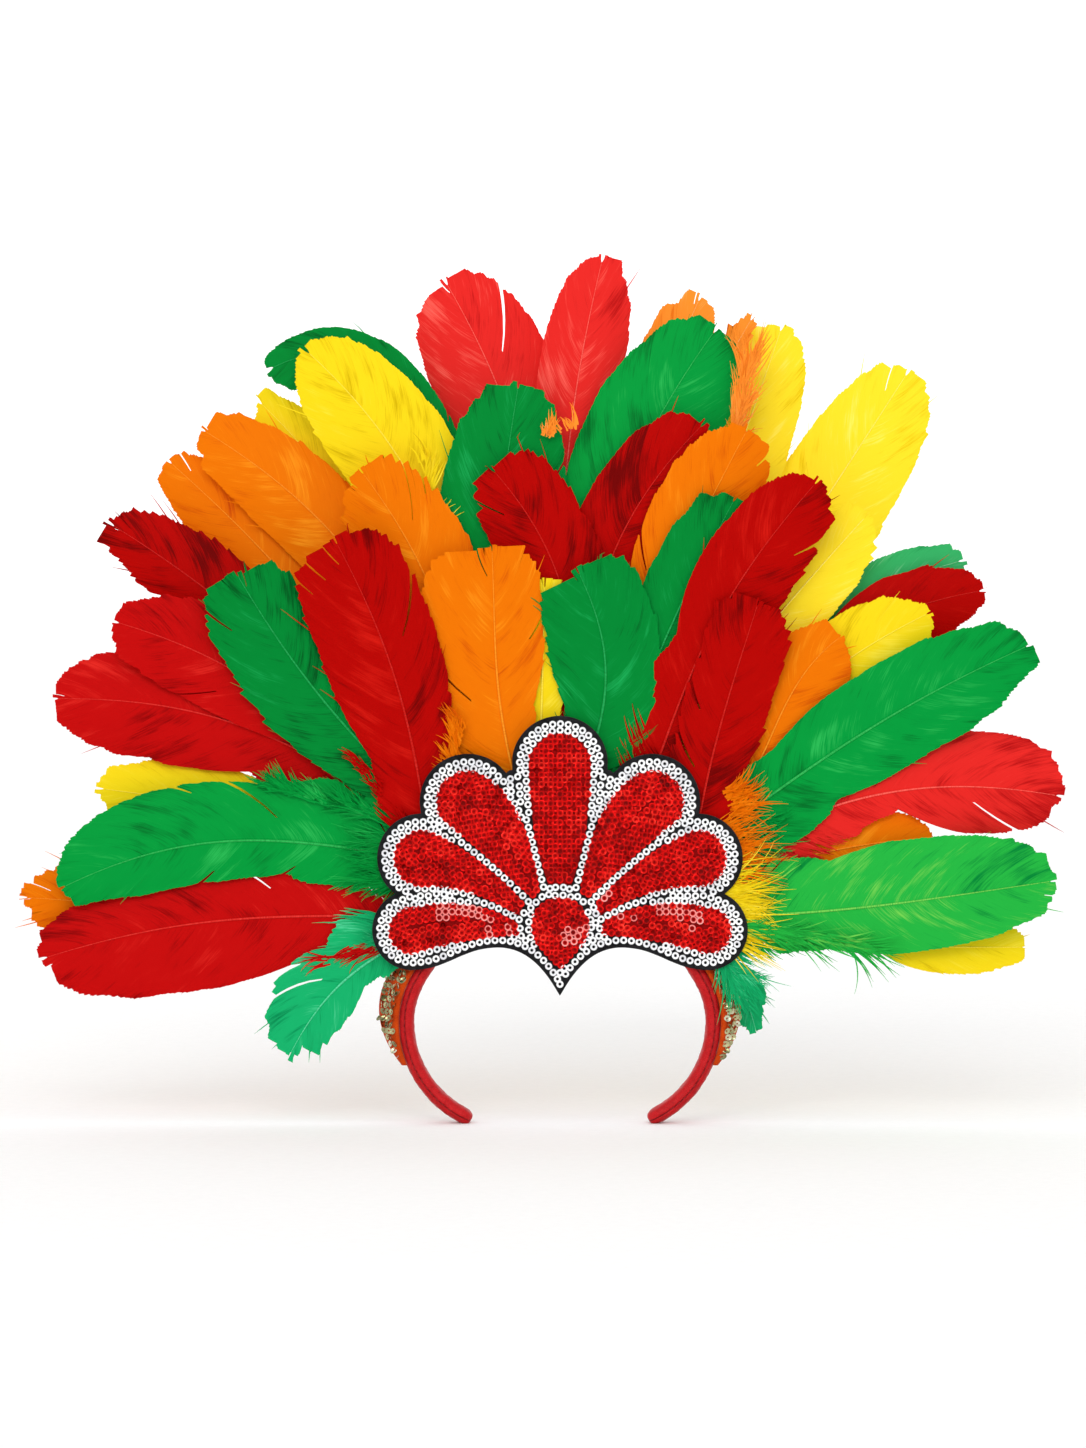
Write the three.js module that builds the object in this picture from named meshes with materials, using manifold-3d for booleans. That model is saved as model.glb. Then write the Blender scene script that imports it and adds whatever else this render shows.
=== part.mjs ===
// A carnival feather headdress: a padded headband that carries a seven-petal sequinned crest, a block
// full of feather quills behind it and a flared, sequinned felt trim on the outside of each arm.
// Millimetres, +Z up. The wearer looks along -Y, so the crest is on the -Y side. The origin is the top
// of the headband's inside, where it sits on the crown of the head. Angles are in degrees from
// straight up, clockwise as the crest is seen from the front.
import * as THREE from "three";
import { mergeVertices } from "three/addons/utils/BufferGeometryUtils.js";
import Module from "manifold-3d";

const wasm = await Module();
wasm.setup();

// Clearances
const GAP = 0.3;                  // between pieces that touch
const WELD_DISTANCE = 1e-4;       // corners this close are one

// Headband, measured along its inside
const BAND_TOP_RADIUS = 64.7;     // the long arc over the head
const BAND_TOP_SWEEP = 63;        // degrees of that arc on each side
const BAND_SIDE_RADIUS = 32;      // the tighter arc at the temples
const BAND_ARM_RADIUS = 41;       // the arms, which close in below the temples
const BAND_ARM_SWEEP = 61;        // degrees
const BAND_THICKNESS = 7;         // padded, seen from the front
const BAND_DEPTH = 12;            // front to back
const BAND_SQUARENESS = 2.7;      // 2 is an ellipse, more is a squarer section
const BAND_TIP_LENGTH = 5;        // the rounded end of an arm

// Crest
const HUB_DROP = 5.5;             // the petals' common centre, below the origin
const BACKING_THICKNESS = 2.5;    // black felt
const SEQUIN_THICKNESS = 1.2;     // a layer of cup sequins
const FELT_RIM = 2;               // black felt left bare round the edge
const BORDER_WIDTH = 5.1;         // two rows of white sequins
const NOTCH_REACH = 65.5;         // from the hub to a notch between petals whose ends stand apart
const CREST_POINT_DROP = 32.7;    // the point over the forehead, below the hub
const CREST_EAVE_DROP = 12.4;     // the high stretch of the lower edge, below the hub
const CREST_EAVE_REACH = 26.2;    // sideways from the middle
const POINT_SLENDERNESS = 1.6;    // how far the point moves for each millimetre the outline is drawn in
const POINT_BEND = { across: 0.3, up: 0.43 };  // of the eave's reach, and of the point's drop
const EAVE_BEND = { toPoint: 0.4, toCheek: 0.55 };  // of the eave's reach
const DROP_RADIUS = 12;           // the red drop at the hub
const DROP_DROP = 3.4;            // its centre, below the hub
const DROP_POINT_DROP = 21.4;     // its point, below the hub

// Petals of the right side from the middle outwards: angle and reach of the round end's centre and its
// radius with the felt. The red field inside has a foot, given as an angle, a reach and half its width,
// and two legs. Each leg bends towards a point, and meets the round end join degrees from its tip.
const PETALS = [
  {
    side: "upper", angle: 38.4, reach: 62.2, radius: 20.2, footAngle: 45.5, footReach: 14.2, foot: 2,
    inner: { angle: 16, reach: 51.5, join: 69 }, outer: { angle: 48.6, reach: 42.8, join: 82 },
  },
  {
    side: "middle", angle: 66.5, reach: 63.2, radius: 18.7, footAngle: 77, footReach: 16.4, foot: 2.8,
    inner: { angle: 51.8, reach: 44.1, join: 83 }, outer: { angle: 68.6, reach: 40.4, join: 105 },
  },
  {
    side: "lower", angle: 94.7, reach: 62.2, radius: 16.8, footAngle: 102.5, footReach: 18.4, foot: 2.8,
    inner: { angle: 76.3, reach: 41.5, join: 100 }, outer: { angle: 101.1, reach: 40.4, join: 86 },
  },
];
const CENTRE_PETAL = {
  angle: 0, reach: 64.7, radius: 20.2, footAngle: 0, footReach: 14.2, foot: 4.9,
  inner: { angle: -20, reach: 37, join: 90 }, outer: { angle: 20, reach: 37, join: 90 },
};

// Block behind the crest that holds the quills
const BLOCK_RADIUS = 60;          // about the hub
const LAYERS = 9;                 // layers of feathers, front to back
const LAYER_PITCH = 1.8;          // one layer to the next, at the block

// Side trims
const TRIM_TOP_DROP = 24;         // the wide end, below the origin
const TRIM_LENGTH = 44;           // down to the point
const TRIM_WIDTH = 12.5;          // at the wide end
const TRIM_FLARE = 41;            // degrees that the strip turns outwards from front to back
const TRIM_FELT = 1.6;
const TRIM_SEQUINS = 1;
const TRIM_EDGE = 1;              // orange felt left bare round the sequins
const TRIM_POINT = 0.8;           // width of the point
const TRIM_TAPER = { hold: 1.3, point: 0.8 };  // powers: how long it stays wide, how blunt it ends

// Feathers
const FAN_REACH = 280;            // from the hub to the farthest tip
const FAN_START = 86;             // from the hub, past the crest, where the layers spread apart
const FAN_SPREAD = 0.058;         // how fast a layer widens there
const FAN_LEAN = 3.6;             // the layer that stands upright, counted from the front
const VANE_WIDTH = 50;            // of a broad feather
const QUILL_DIAMETER = 1.2;
const QUILL_TIP_SHARE = 0.5;      // of the quill's thickness, at the tip
const VANE_THICKNESS = 0.5;       // halfway out from the quill
const HANDLE_SHARE = 0.4;         // how far the bend at each end of a feather reaches along it
const CAMBER_SHARE = 0.8;         // of the depth that a layer has, how far the vane's edges fall back
const VANE_FULLNESS = 0.8;        // power: under 1 widens sooner towards the widest place

// Faceting
const LOBE_STEPS = 10;
const EDGE_STEPS = 5;
const BAND_SECTION_STEPS = 10;
const BAND_STEPS = { top: 9, side: 2, arm: 7 };
const BAND_TIP_TURNS = [30, 60, 85];  // degrees round the end of an arm
const BLOCK_STEPS = { rim: 40, top: 24, side: 4, arm: 6 };
const TRIM_STATIONS = [0, 0.1, 0.3, 0.5, 0.7, 0.85, 0.94, 1];
const VANE_STATIONS = [0, 0.07, 0.2, 0.4, 0.6, 0.78, 0.9, 0.97];

const COLOURS = {
  satin: 0xc4171d, felt: 0x17171a, whiteSequin: 0xefefef, redSequin: 0xc8100e, orangeFelt: 0xd2520e,
  goldSequin: 0xb9a06a, red: 0xc40a08, green: 0x0f9b4e, orange: 0xf6820e, yellow: 0xf1d51c,
};

// The outline of a feather's vane: where it starts along the quill and is widest, as shares of its
// length, and how blunt its tip is
const KINDS = {
  broad: { start: 0.08, belly: 0.6, blunt: 2.6 },
  ragged: { start: 0.06, belly: 0.62, blunt: 4.5 },
  back: { start: 0.3, belly: 0.7, blunt: 2.6 },
  hidden: { start: 0.52, belly: 0.8, blunt: 2.4 },
  fluffy: { start: 0.28, belly: 0.66, blunt: 2.2 },
};

// Feathers. layer counts from the front. seat is the quill's place on the block's rim and aim the
// tip's, as angles about the hub. reach is a share of FAN_REACH and width of VANE_WIDTH. leave and
// arrive turn the quill clockwise from the straight line between its ends. left is the share of the
// vane to the left of the quill, looking from the quill's foot to its tip.
const COLUMNS = ["name", "hue", "kind", "layer", "seat", "aim", "reach", "leave", "arrive", "width", "left"];
const FEATHERS = [
  ["left_fluff_green", "green", "fluffy", 2, -97, -117, 0.455, 17, -19, 0.7, 0.42],
  ["left_long_red", "red", "broad", 3, -90, -94.6, 0.78, 7, -11, 0.98, 0.58],
  ["left_tip_orange", "orange", "hidden", 4, -92.5, -88, 0.81, 0, 0, 0.66, 0.5],
  ["left_long_green", "green", "broad", 2, -67, -86.6, 0.75, 14, -22, 0.78, 0.34],
  ["left_long_yellow", "yellow", "back", 5, -64, -74.6, 0.72, 3, -4, 0.54, 0.5],
  ["left_wide_red", "red", "back", 4, -58, -66.8, 0.83, 17, -21, 0.86, 0.48],
  ["left_coral_red", "red", "back", 3, -55, -56.4, 0.803, 7, -17, 0.8, 0.5],
  ["left_dark_red", "red", "back", 5, -50, -49, 0.9, 4, -10, 0.66, 0.5],
  ["left_upright_green", "green", "ragged", 1, -52, -43, 0.71, -7, 9, 0.8, 0.5],
  ["left_front_red", "red", "ragged", 0, -63, -30.6, 0.66, 8, -11, 1.02, 0.56],
  ["left_low_orange", "orange", "back", 7, -46, -41, 0.907, 7, -10, 0.66, 0.52],
  ["left_high_orange", "orange", "back", 6, -43, -36.6, 0.912, 21, -25, 0.76, 0.5],
  ["left_inner_orange", "orange", "back", 3, -33, -24, 0.735, 10, -17, 0.86, 0.5],
  ["left_tall_yellow", "yellow", "back", 5, -35, -24.3, 0.935, 20, -27, 0.94, 0.5],
  ["left_back_yellow", "yellow", "hidden", 7, -41, -30.6, 0.9, 8, -20, 0.5, 0.5],
  ["left_curled_green", "green", "back", 6, -31, -28.5, 0.93, 36, -92, 0.62, 0.5],
  ["centre_orange", "orange", "ragged", 1, -18, -10.4, 0.564, -9, 3, 1, 0.6],
  ["centre_yellow", "yellow", "ragged", 2, -8, -2.6, 0.5, 0, 0, 0.45, 0.5],
  ["top_left_red", "red", "hidden", 7, -13, -10.4, 0.973, 17, -21, 1, 0.5],
  ["top_centre_red", "red", "hidden", 6, 4, 3.8, 0.995, -7, 10, 0.7, 0.48],
  ["top_left_green", "green", "broad", 4, -15, -4.4, 0.803, -12, 10, 1.06, 0.5],
  ["top_right_green", "green", "back", 5, 10, 15, 0.915, -15, 20, 1.08, 0.5],
  ["top_back_orange", "orange", "hidden", 8, 7, 13, 0.958, -10, 10, 0.62, 0.5],
  ["top_wisp_orange", "orange", "hidden", 6, 14, 18, 0.95, -8, 12, 0.42, 0.5],
  ["top_right_yellow", "yellow", "back", 7, 18, 20.8, 0.95, 0, -3, 0.7, 0.5],
  ["top_far_yellow", "yellow", "back", 8, 30, 33, 0.977, 0, 0, 0.95, 0.5],
  ["centre_dark_red", "red", "ragged", 3, 3, -8.6, 0.68, 21, -28, 0.8, 0.48],
  ["right_dark_red", "red", "back", 4, 12, 16.3, 0.772, -23, 27, 0.8, 0.5],
  ["right_tall_orange", "orange", "back", 3, 16, 21, 0.787, -5, 5, 0.8, 0.5],
  ["right_dark_green", "green", "back", 2, 20, 22.6, 0.682, -4, 4, 0.72, 0.5],
  ["right_tall_red", "red", "back", 1, 36, 30.4, 0.762, -10, 13, 0.78, 0.5],
  ["right_back_yellow", "yellow", "back", 4, 32, 37.4, 0.76, -2, 3, 0.68, 0.5],
  ["centre_green", "green", "ragged", 1, 9, 3, 0.52, 24, -25, 0.92, 0.5],
  ["right_front_red", "red", "ragged", 0, 66, 32, 0.56, -5, 3, 0.86, 0.46],
  ["right_inner_orange", "orange", "back", 2, 58, 45, 0.6, 30, 17, 0.64, 0.5],
  ["right_long_yellow", "yellow", "back", 3, 54, 50.5, 0.72, -9, 15, 0.7, 0.5],
  ["right_pale_green", "green", "back", 6, 50, 48.8, 0.81, -18, 27, 0.54, 0.5],
  ["right_back_red", "red", "hidden", 5, 56, 52.6, 0.805, -21, 30, 0.6, 0.5],
  ["right_long_green", "green", "broad", 1, 64, 59.6, 0.815, -4, 7, 0.86, 0.46],
  ["right_coral_red", "red", "hidden", 2, 70, 76.3, 0.773, -17, 21, 0.8, 0.5],
  ["right_short_orange", "orange", "broad", 3, 77, 78, 0.575, -4, 7, 0.5, 0.5],
  ["right_low_green", "green", "broad", 0, 90, 85.4, 0.742, 5, -3, 0.9, 0.52],
  ["right_low_yellow", "yellow", "hidden", 3, 96, 93.7, 0.703, 3, -3, 0.56, 0.5],
  ["right_fluff_green", "green", "fluffy", 8, 101, 120.7, 0.344, -28, 16, 0.34, 0.5],
];

// Worked out from the sizes above
const radians = THREE.MathUtils.degToRad;
const HUB = new THREE.Vector2(0, -HUB_DROP);
const BACKING_BACK = -BAND_DEPTH / 2 - GAP;
const BACKING_FRONT = BACKING_BACK - BACKING_THICKNESS;
const SEQUIN_BACK = BACKING_FRONT - GAP;
const SEQUIN_FRONT = SEQUIN_BACK - SEQUIN_THICKNESS;
const BLOCK_FRONT = -BAND_DEPTH / 2;
const BLOCK_DEPTH = LAYERS * LAYER_PITCH;
const TRIM_FRONT = BACKING_BACK + GAP + (TRIM_FELT + GAP + TRIM_SEQUINS) * Math.sin(radians(TRIM_FLARE));

const group = new THREE.Group();

// A unit vector at an angle from straight up, clockwise
function heading(angle) {
  return new THREE.Vector2(Math.sin(radians(angle)), Math.cos(radians(angle)));
}

function polar(centre, angle, reach) {
  return heading(angle).multiplyScalar(reach).add(centre);
}

function addPiece(name, geometry, colour, roughness, metalness = 0) {
  const material = new THREE.MeshStandardMaterial({ color: colour, roughness, metalness });
  const mesh = new THREE.Mesh(geometry, material);
  mesh.name = name;
  group.add(mesh);
}

// Joins rings of equally many points into one closed body with flat ends. The sides after backFrom are
// split along their other diagonal, so that the front and back of a thin twisted sheet stay parallel.
function loft(rings, backFrom = rings[0].length) {
  const count = rings[0].length;
  const corners = [];
  for (let row = 0; row + 1 < rings.length; row++) {
    for (let i = 0; i < count; i++) {
      const j = (i + 1) % count;
      const [near, nearNext] = [rings[row][i], rings[row][j]];
      const [far, farNext] = [rings[row + 1][i], rings[row + 1][j]];
      if (i < backFrom) corners.push(near, far, nearNext, nearNext, far, farNext);
      else corners.push(near, far, farNext, near, farNext, nearNext);
    }
  }
  const last = rings[rings.length - 1];
  for (let i = 1; i + 1 < count; i++) {
    corners.push(rings[0][0], rings[0][i], rings[0][i + 1]);
    corners.push(last[0], last[i + 1], last[i]);
  }
  return outwardBody(corners);
}

// A geometry from triangle corners, turned so that its faces point out
function outwardBody(corners) {
  let volume = 0;
  for (let i = 0; i < corners.length; i += 3) {
    volume += corners[i].dot(corners[i + 1].clone().cross(corners[i + 2]));
  }
  if (volume < 0) corners.reverse();
  const geometry = new THREE.BufferGeometry().setFromPoints(corners);
  geometry.computeVertexNormals();
  return geometry;
}

// A flat plate from an outline in the X-Z plane, from y = front to y = back
function plate(outline, front, back) {
  const shape = new THREE.Shape(outline);
  const geometry = new THREE.ExtrudeGeometry(shape, { depth: back - front, bevelEnabled: false });
  geometry.rotateX(Math.PI / 2);
  geometry.translate(0, back, 0);
  return geometry;
}

function toSolid(geometry) {
  const bare = geometry.clone();
  bare.deleteAttribute("normal");
  bare.deleteAttribute("uv");
  const merged = mergeVertices(bare, WELD_DISTANCE);
  return new wasm.Manifold(new wasm.Mesh({
    numProp: 3,
    vertProperties: new Float32Array(merged.attributes.position.array),
    triVerts: new Uint32Array(merged.index.array),
  }));
}

function toGeometry(solid) {
  const mesh = solid.getMesh();
  const geometry = new THREE.BufferGeometry();
  geometry.setAttribute("position", new THREE.BufferAttribute(mesh.vertProperties, 3));
  geometry.setIndex(new THREE.BufferAttribute(mesh.triVerts, 1));
  return geometry;
}

// Headband

// The three arcs of the band's inside on the right, from the top down
function bandArcs() {
  const topCentre = new THREE.Vector2(0, -BAND_TOP_RADIUS);
  const sideCentre = polar(topCentre, BAND_TOP_SWEEP, BAND_TOP_RADIUS - BAND_SIDE_RADIUS);
  const armCentre = polar(sideCentre, 90, BAND_SIDE_RADIUS - BAND_ARM_RADIUS);
  return [
    { part: "top", centre: topCentre, radius: BAND_TOP_RADIUS, from: 0, to: BAND_TOP_SWEEP },
    { part: "side", centre: sideCentre, radius: BAND_SIDE_RADIUS, from: BAND_TOP_SWEEP, to: 90 },
    { part: "arm", centre: armCentre, radius: BAND_ARM_RADIUS, from: 90, to: 90 + BAND_ARM_SWEEP },
  ];
}

// Stations along the band from the left arm's end over the head to the right arm's, each a point on
// the inside and the outward direction there. steps holds each arc's number of steps.
function bandStations(steps) {
  const right = [];
  for (const { part, centre, radius, from, to } of bandArcs()) {
    for (let i = right.length ? 1 : 0; i <= steps[part]; i++) {
      const angle = from + (to - from) * i / steps[part];
      right.push({ inside: polar(centre, angle, radius), outward: heading(angle) });
    }
  }
  const left = right.slice(1).reverse().map(({ inside, outward }) => ({
    inside: new THREE.Vector2(-inside.x, inside.y),
    outward: new THREE.Vector2(-outward.x, outward.y),
  }));
  return [...left, ...right];
}

// A point of the padded section: up the band's outward direction and along Y
function bandSection(station, share, shrink, slide) {
  const turn = 2 * Math.PI * share;
  const square = (value) => Math.sign(value) * Math.abs(value) ** (2 / BAND_SQUARENESS);
  const middle = BAND_THICKNESS / 2;
  const out = middle + middle * shrink * square(Math.cos(turn));
  const along = new THREE.Vector2(station.outward.y, -station.outward.x).multiplyScalar(slide);
  const at = station.outward.clone().multiplyScalar(out).add(station.inside).add(along);
  return new THREE.Vector3(at.x, BAND_DEPTH / 2 * shrink * square(Math.sin(turn)), at.y);
}

function headband() {
  const stations = bandStations(BAND_STEPS);
  const ring = (station, shrink, slide) => Array.from({ length: BAND_SECTION_STEPS },
    (_, i) => bandSection(station, (i + 0.5) / BAND_SECTION_STEPS, shrink, slide));
  const roundEnd = (station, side) => BAND_TIP_TURNS.map((turn) => ring(
    station, Math.cos(radians(turn)), side * BAND_TIP_LENGTH * Math.sin(radians(turn))));
  return loft([
    ...roundEnd(stations[0], -1).reverse(),
    ...stations.map((station) => ring(station, 1, 0)),
    ...roundEnd(stations[stations.length - 1], 1),
  ]);
}

// Crest

// A petal of the left side, whose angles and legs mirror the right one's
function leftPetal(petal) {
  const leg = ({ angle, reach, join }) => ({ angle: -angle, reach, join });
  return {
    ...petal, name: `petal_left_${petal.side}`, angle: -petal.angle, footAngle: -petal.footAngle,
    inner: leg(petal.outer), outer: leg(petal.inner),
  };
}

const allPetals = [
  ...PETALS.map(leftPetal).reverse(),
  { ...CENTRE_PETAL, name: "petal_centre" },
  ...PETALS.map((petal) => ({ ...petal, name: `petal_right_${petal.side}` })),
];

function arcPoints(centre, radius, from, to, steps) {
  return Array.from({ length: steps + 1 }, (_, i) => polar(centre, from + (to - from) * i / steps, radius));
}

// The angle, clockwise from straight up, at which one point sees another
function bearing(from, to) {
  return THREE.MathUtils.radToDeg(Math.atan2(to.x - from.x, to.y - from.y));
}

// The same direction, written as the next angle clockwise from another
function clockwiseFrom(start, angle) {
  return start + THREE.MathUtils.euclideanModulo(angle - start, 360);
}

// Where a petal's round end meets the next one's, both drawn in by inset: where they cross, or the
// bottom of the notch if they stand apart
function meeting(index, inset) {
  const ends = allPetals.slice(index, index + 2).map(({ angle, reach, radius }) => (
    { centre: polar(HUB, angle, reach), radius: radius - inset }));
  const [one, other] = ends;
  const apart = one.centre.distanceTo(other.centre);
  const along = (apart ** 2 + one.radius ** 2 - other.radius ** 2) / (2 * apart);
  const middle = one.centre.clone().lerp(other.centre, along / apart);
  if (apart >= one.radius + other.radius) {
    return { point: polar(HUB, bearing(HUB, middle), NOTCH_REACH - inset), crossing: false };
  }
  const rise = Math.sqrt(one.radius ** 2 - along ** 2);
  return { point: polar(middle, bearing(one.centre, other.centre) - 90, rise), crossing: true };
}

// The lower edge from the point over the forehead to the bottom of the lower petal on one side
function lowerEdge(side, inset) {
  const petal = allPetals[side < 0 ? 0 : allPetals.length - 1];
  const cheek = polar(HUB, petal.angle, petal.reach);
  cheek.y -= petal.radius - inset;
  const eave = new THREE.Vector2(side * CREST_EAVE_REACH, HUB.y - CREST_EAVE_DROP + inset);
  const point = new THREE.Vector2(0, HUB.y - CREST_POINT_DROP + inset * POINT_SLENDERNESS);
  const toEave = new THREE.CubicBezierCurve(
    point,
    new THREE.Vector2(eave.x * POINT_BEND.across, point.y + CREST_POINT_DROP * POINT_BEND.up),
    new THREE.Vector2(eave.x * (1 - EAVE_BEND.toPoint), eave.y),
    eave);
  const toCheek = new THREE.CubicBezierCurve(
    eave,
    new THREE.Vector2(eave.x * (1 + EAVE_BEND.toCheek), eave.y),
    new THREE.Vector2(cheek.x - eave.x * EAVE_BEND.toCheek, cheek.y),
    cheek);
  return [...toEave.getPoints(EDGE_STEPS), ...toCheek.getPoints(EDGE_STEPS).slice(1, -1)];
}

// The crest's outline, drawn in by inset, clockwise from the point over the forehead
function crestOutline(inset) {
  const outline = lowerEdge(-1, inset);
  allPetals.forEach((petal, i) => {
    const centre = polar(HUB, petal.angle, petal.reach);
    const before = i > 0 ? meeting(i - 1, inset) : null;
    const after = i + 1 < allPetals.length ? meeting(i, inset) : null;
    const from = before ? bearing(centre, before.point) : 180;
    const to = clockwiseFrom(from, after ? bearing(centre, after.point) : 180);
    outline.push(...arcPoints(centre, petal.radius - inset, from, to, LOBE_STEPS));
    if (after) {
      if (after.crossing) outline.pop();
      else outline.push(after.point);
    }
  });
  return [...outline, ...lowerEdge(1, inset).reverse().slice(0, -1)];
}

// A petal's red field, grown outwards by grow: a round end with two legs down to its foot
function petalField(petal, grow) {
  const centre = polar(HUB, petal.angle, petal.reach);
  const radius = petal.radius - FELT_RIM - BORDER_WIDTH + grow;
  const foot = polar(HUB, petal.footAngle, petal.footReach - grow);
  const across = heading(petal.footAngle + 90);
  const leg = ({ angle, reach, join }, side) => new THREE.QuadraticBezierCurve(
    foot.clone().addScaledVector(across, side * (petal.foot + grow)),
    polar(HUB, angle, reach).addScaledVector(across, side * grow),
    polar(centre, petal.angle + side * join, radius)).getPoints(EDGE_STEPS);
  const roundEnd = arcPoints(
    centre, radius, petal.angle - petal.inner.join, petal.angle + petal.outer.join, LOBE_STEPS);
  return [...leg(petal.inner, -1), ...roundEnd.slice(1, -1), ...leg(petal.outer, 1).reverse()];
}

// The red drop at the hub, grown outwards by grow: a circle with a point below
function dropField(grow) {
  const centre = new THREE.Vector2(0, HUB.y - DROP_DROP);
  const radius = DROP_RADIUS + grow;
  const slenderness = (DROP_POINT_DROP - DROP_DROP) / DROP_RADIUS;
  const point = new THREE.Vector2(0, centre.y - radius * slenderness);
  const open = THREE.MathUtils.radToDeg(Math.acos(1 / slenderness));
  return [...arcPoints(centre, radius, 180 + open, 540 - open, LOBE_STEPS + EDGE_STEPS), point];
}

function addCrest() {
  const layer = (outline) => plate(outline, SEQUIN_FRONT, SEQUIN_BACK);
  addPiece("crest_backing", plate(crestOutline(0), BACKING_FRONT, BACKING_BACK), COLOURS.felt, 0.95);
  let border = toSolid(layer(crestOutline(FELT_RIM)));
  for (const field of [...allPetals.map((petal) => petalField(petal, GAP)), dropField(GAP)]) {
    border = border.subtract(toSolid(plate(field, SEQUIN_FRONT - GAP, SEQUIN_BACK + GAP)));
  }
  addPiece("crest_border", toGeometry(border), COLOURS.whiteSequin, 0.35);
  for (const petal of allPetals) {
    addPiece(petal.name, layer(petalField(petal, 0)), COLOURS.redSequin, 0.35);
  }
  addPiece("crest_drop", layer(dropField(0)), COLOURS.redSequin, 0.35);
}

// The block is a disc about the hub, down to the side trims and cut away where the headband passes
function featherBlock() {
  const foot = TRIM_TOP_DROP - GAP - HUB_DROP;
  const limit = 90 + THREE.MathUtils.radToDeg(Math.asin(foot / BLOCK_RADIUS));
  const rim = arcPoints(HUB, BLOCK_RADIUS, -limit, limit, BLOCK_STEPS.rim);
  const disc = plate(rim, BLOCK_FRONT, BLOCK_FRONT + BLOCK_DEPTH);
  const bandOutside = bandStations(BLOCK_STEPS).map(({ inside, outward }) =>
    inside.clone().addScaledVector(outward, BAND_THICKNESS + GAP));
  const cutter = plate(bandOutside, BLOCK_FRONT - GAP, BLOCK_FRONT + BLOCK_DEPTH + GAP);
  return toGeometry(toSolid(disc).subtract(toSolid(cutter)));
}

// Side trims

// The band's outside at a height, as the distance from the middle
function bandOutsideAt(z) {
  const arcs = bandArcs();
  const reaches = ({ centre, radius, to }) => polar(centre, to, radius + BAND_THICKNESS).y <= z;
  const { centre, radius } = arcs.find(reaches) ?? arcs[arcs.length - 1];
  return centre.x + Math.sqrt((radius + BAND_THICKNESS) ** 2 - (z - centre.y) ** 2);
}

// The strip's width at a share of its length: nearly full to the middle, then down to a point
function trimWidth(share) {
  return TRIM_WIDTH * Math.cos(radians(90 * share ** TRIM_TAPER.hold)) ** TRIM_TAPER.point;
}

// A strip whose front edge follows the arm and whose back edge stands out from it. It is set off
// from the arm, drawn in from its own edges, and thick outwards.
function trimStrip(side, setOff, edge, thickness) {
  const across = heading(TRIM_FLARE);
  const out = new THREE.Vector2(across.y, -across.x);
  const rings = TRIM_STATIONS.map((share) => {
    const drop = edge + (TRIM_LENGTH - 2 * edge) * share;
    const z = -TRIM_TOP_DROP - drop;
    const width = Math.max(trimWidth(drop / TRIM_LENGTH) - 2 * edge, TRIM_POINT);
    const start = new THREE.Vector2(bandOutsideAt(z) + GAP, TRIM_FRONT).addScaledVector(across, edge);
    const corner = (along, off) => {
      const at = start.clone().addScaledVector(across, along).addScaledVector(out, off);
      return new THREE.Vector3(side * at.x, at.y, z);
    };
    return [
      corner(0, setOff), corner(width, setOff),
      corner(width, setOff + thickness), corner(0, setOff + thickness),
    ];
  });
  return loft(rings);
}

// Feathers

// How much wider a layer is than at the block, at a reach from the hub
function spreadAt(reach) {
  const past = Math.max(0, reach - FAN_START);
  return FAN_SPREAD * past * past / (FAN_REACH - FAN_START);
}

// The Y of a layer's middle, and half the depth that it has, at a reach from the hub
function layerAt(layer, reach) {
  const spread = spreadAt(reach);
  const middle = BLOCK_FRONT + (layer + 0.5) * LAYER_PITCH + (layer + 0.5 - FAN_LEAN) * spread;
  return { middle, half: (LAYER_PITCH + spread - GAP) / 2 };
}

function quillPath({ seat, aim, reach, leave, arrive }) {
  const foot = polar(HUB, seat, BLOCK_RADIUS + GAP + QUILL_DIAMETER / 4);
  const tip = polar(HUB, aim, reach * FAN_REACH);
  const straight = bearing(foot, tip);
  const handle = foot.distanceTo(tip) * HANDLE_SHARE;
  return new THREE.CubicBezierCurve(
    foot, polar(foot, straight + leave, handle), polar(tip, straight + arrive, -handle), tip);
}

// The vane's whole width at a share of the quill's length
function vaneWidth(kind, width, share) {
  const { start, belly, blunt } = KINDS[kind];
  if (share <= start) return QUILL_DIAMETER;
  if (share <= belly) {
    const rise = Math.sin(Math.PI / 2 * (share - start) / (belly - start));
    return QUILL_DIAMETER + (width - QUILL_DIAMETER) * rise ** VANE_FULLNESS;
  }
  return width * (1 - ((share - belly) / (1 - belly)) ** blunt) ** (1 / blunt);
}

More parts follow.
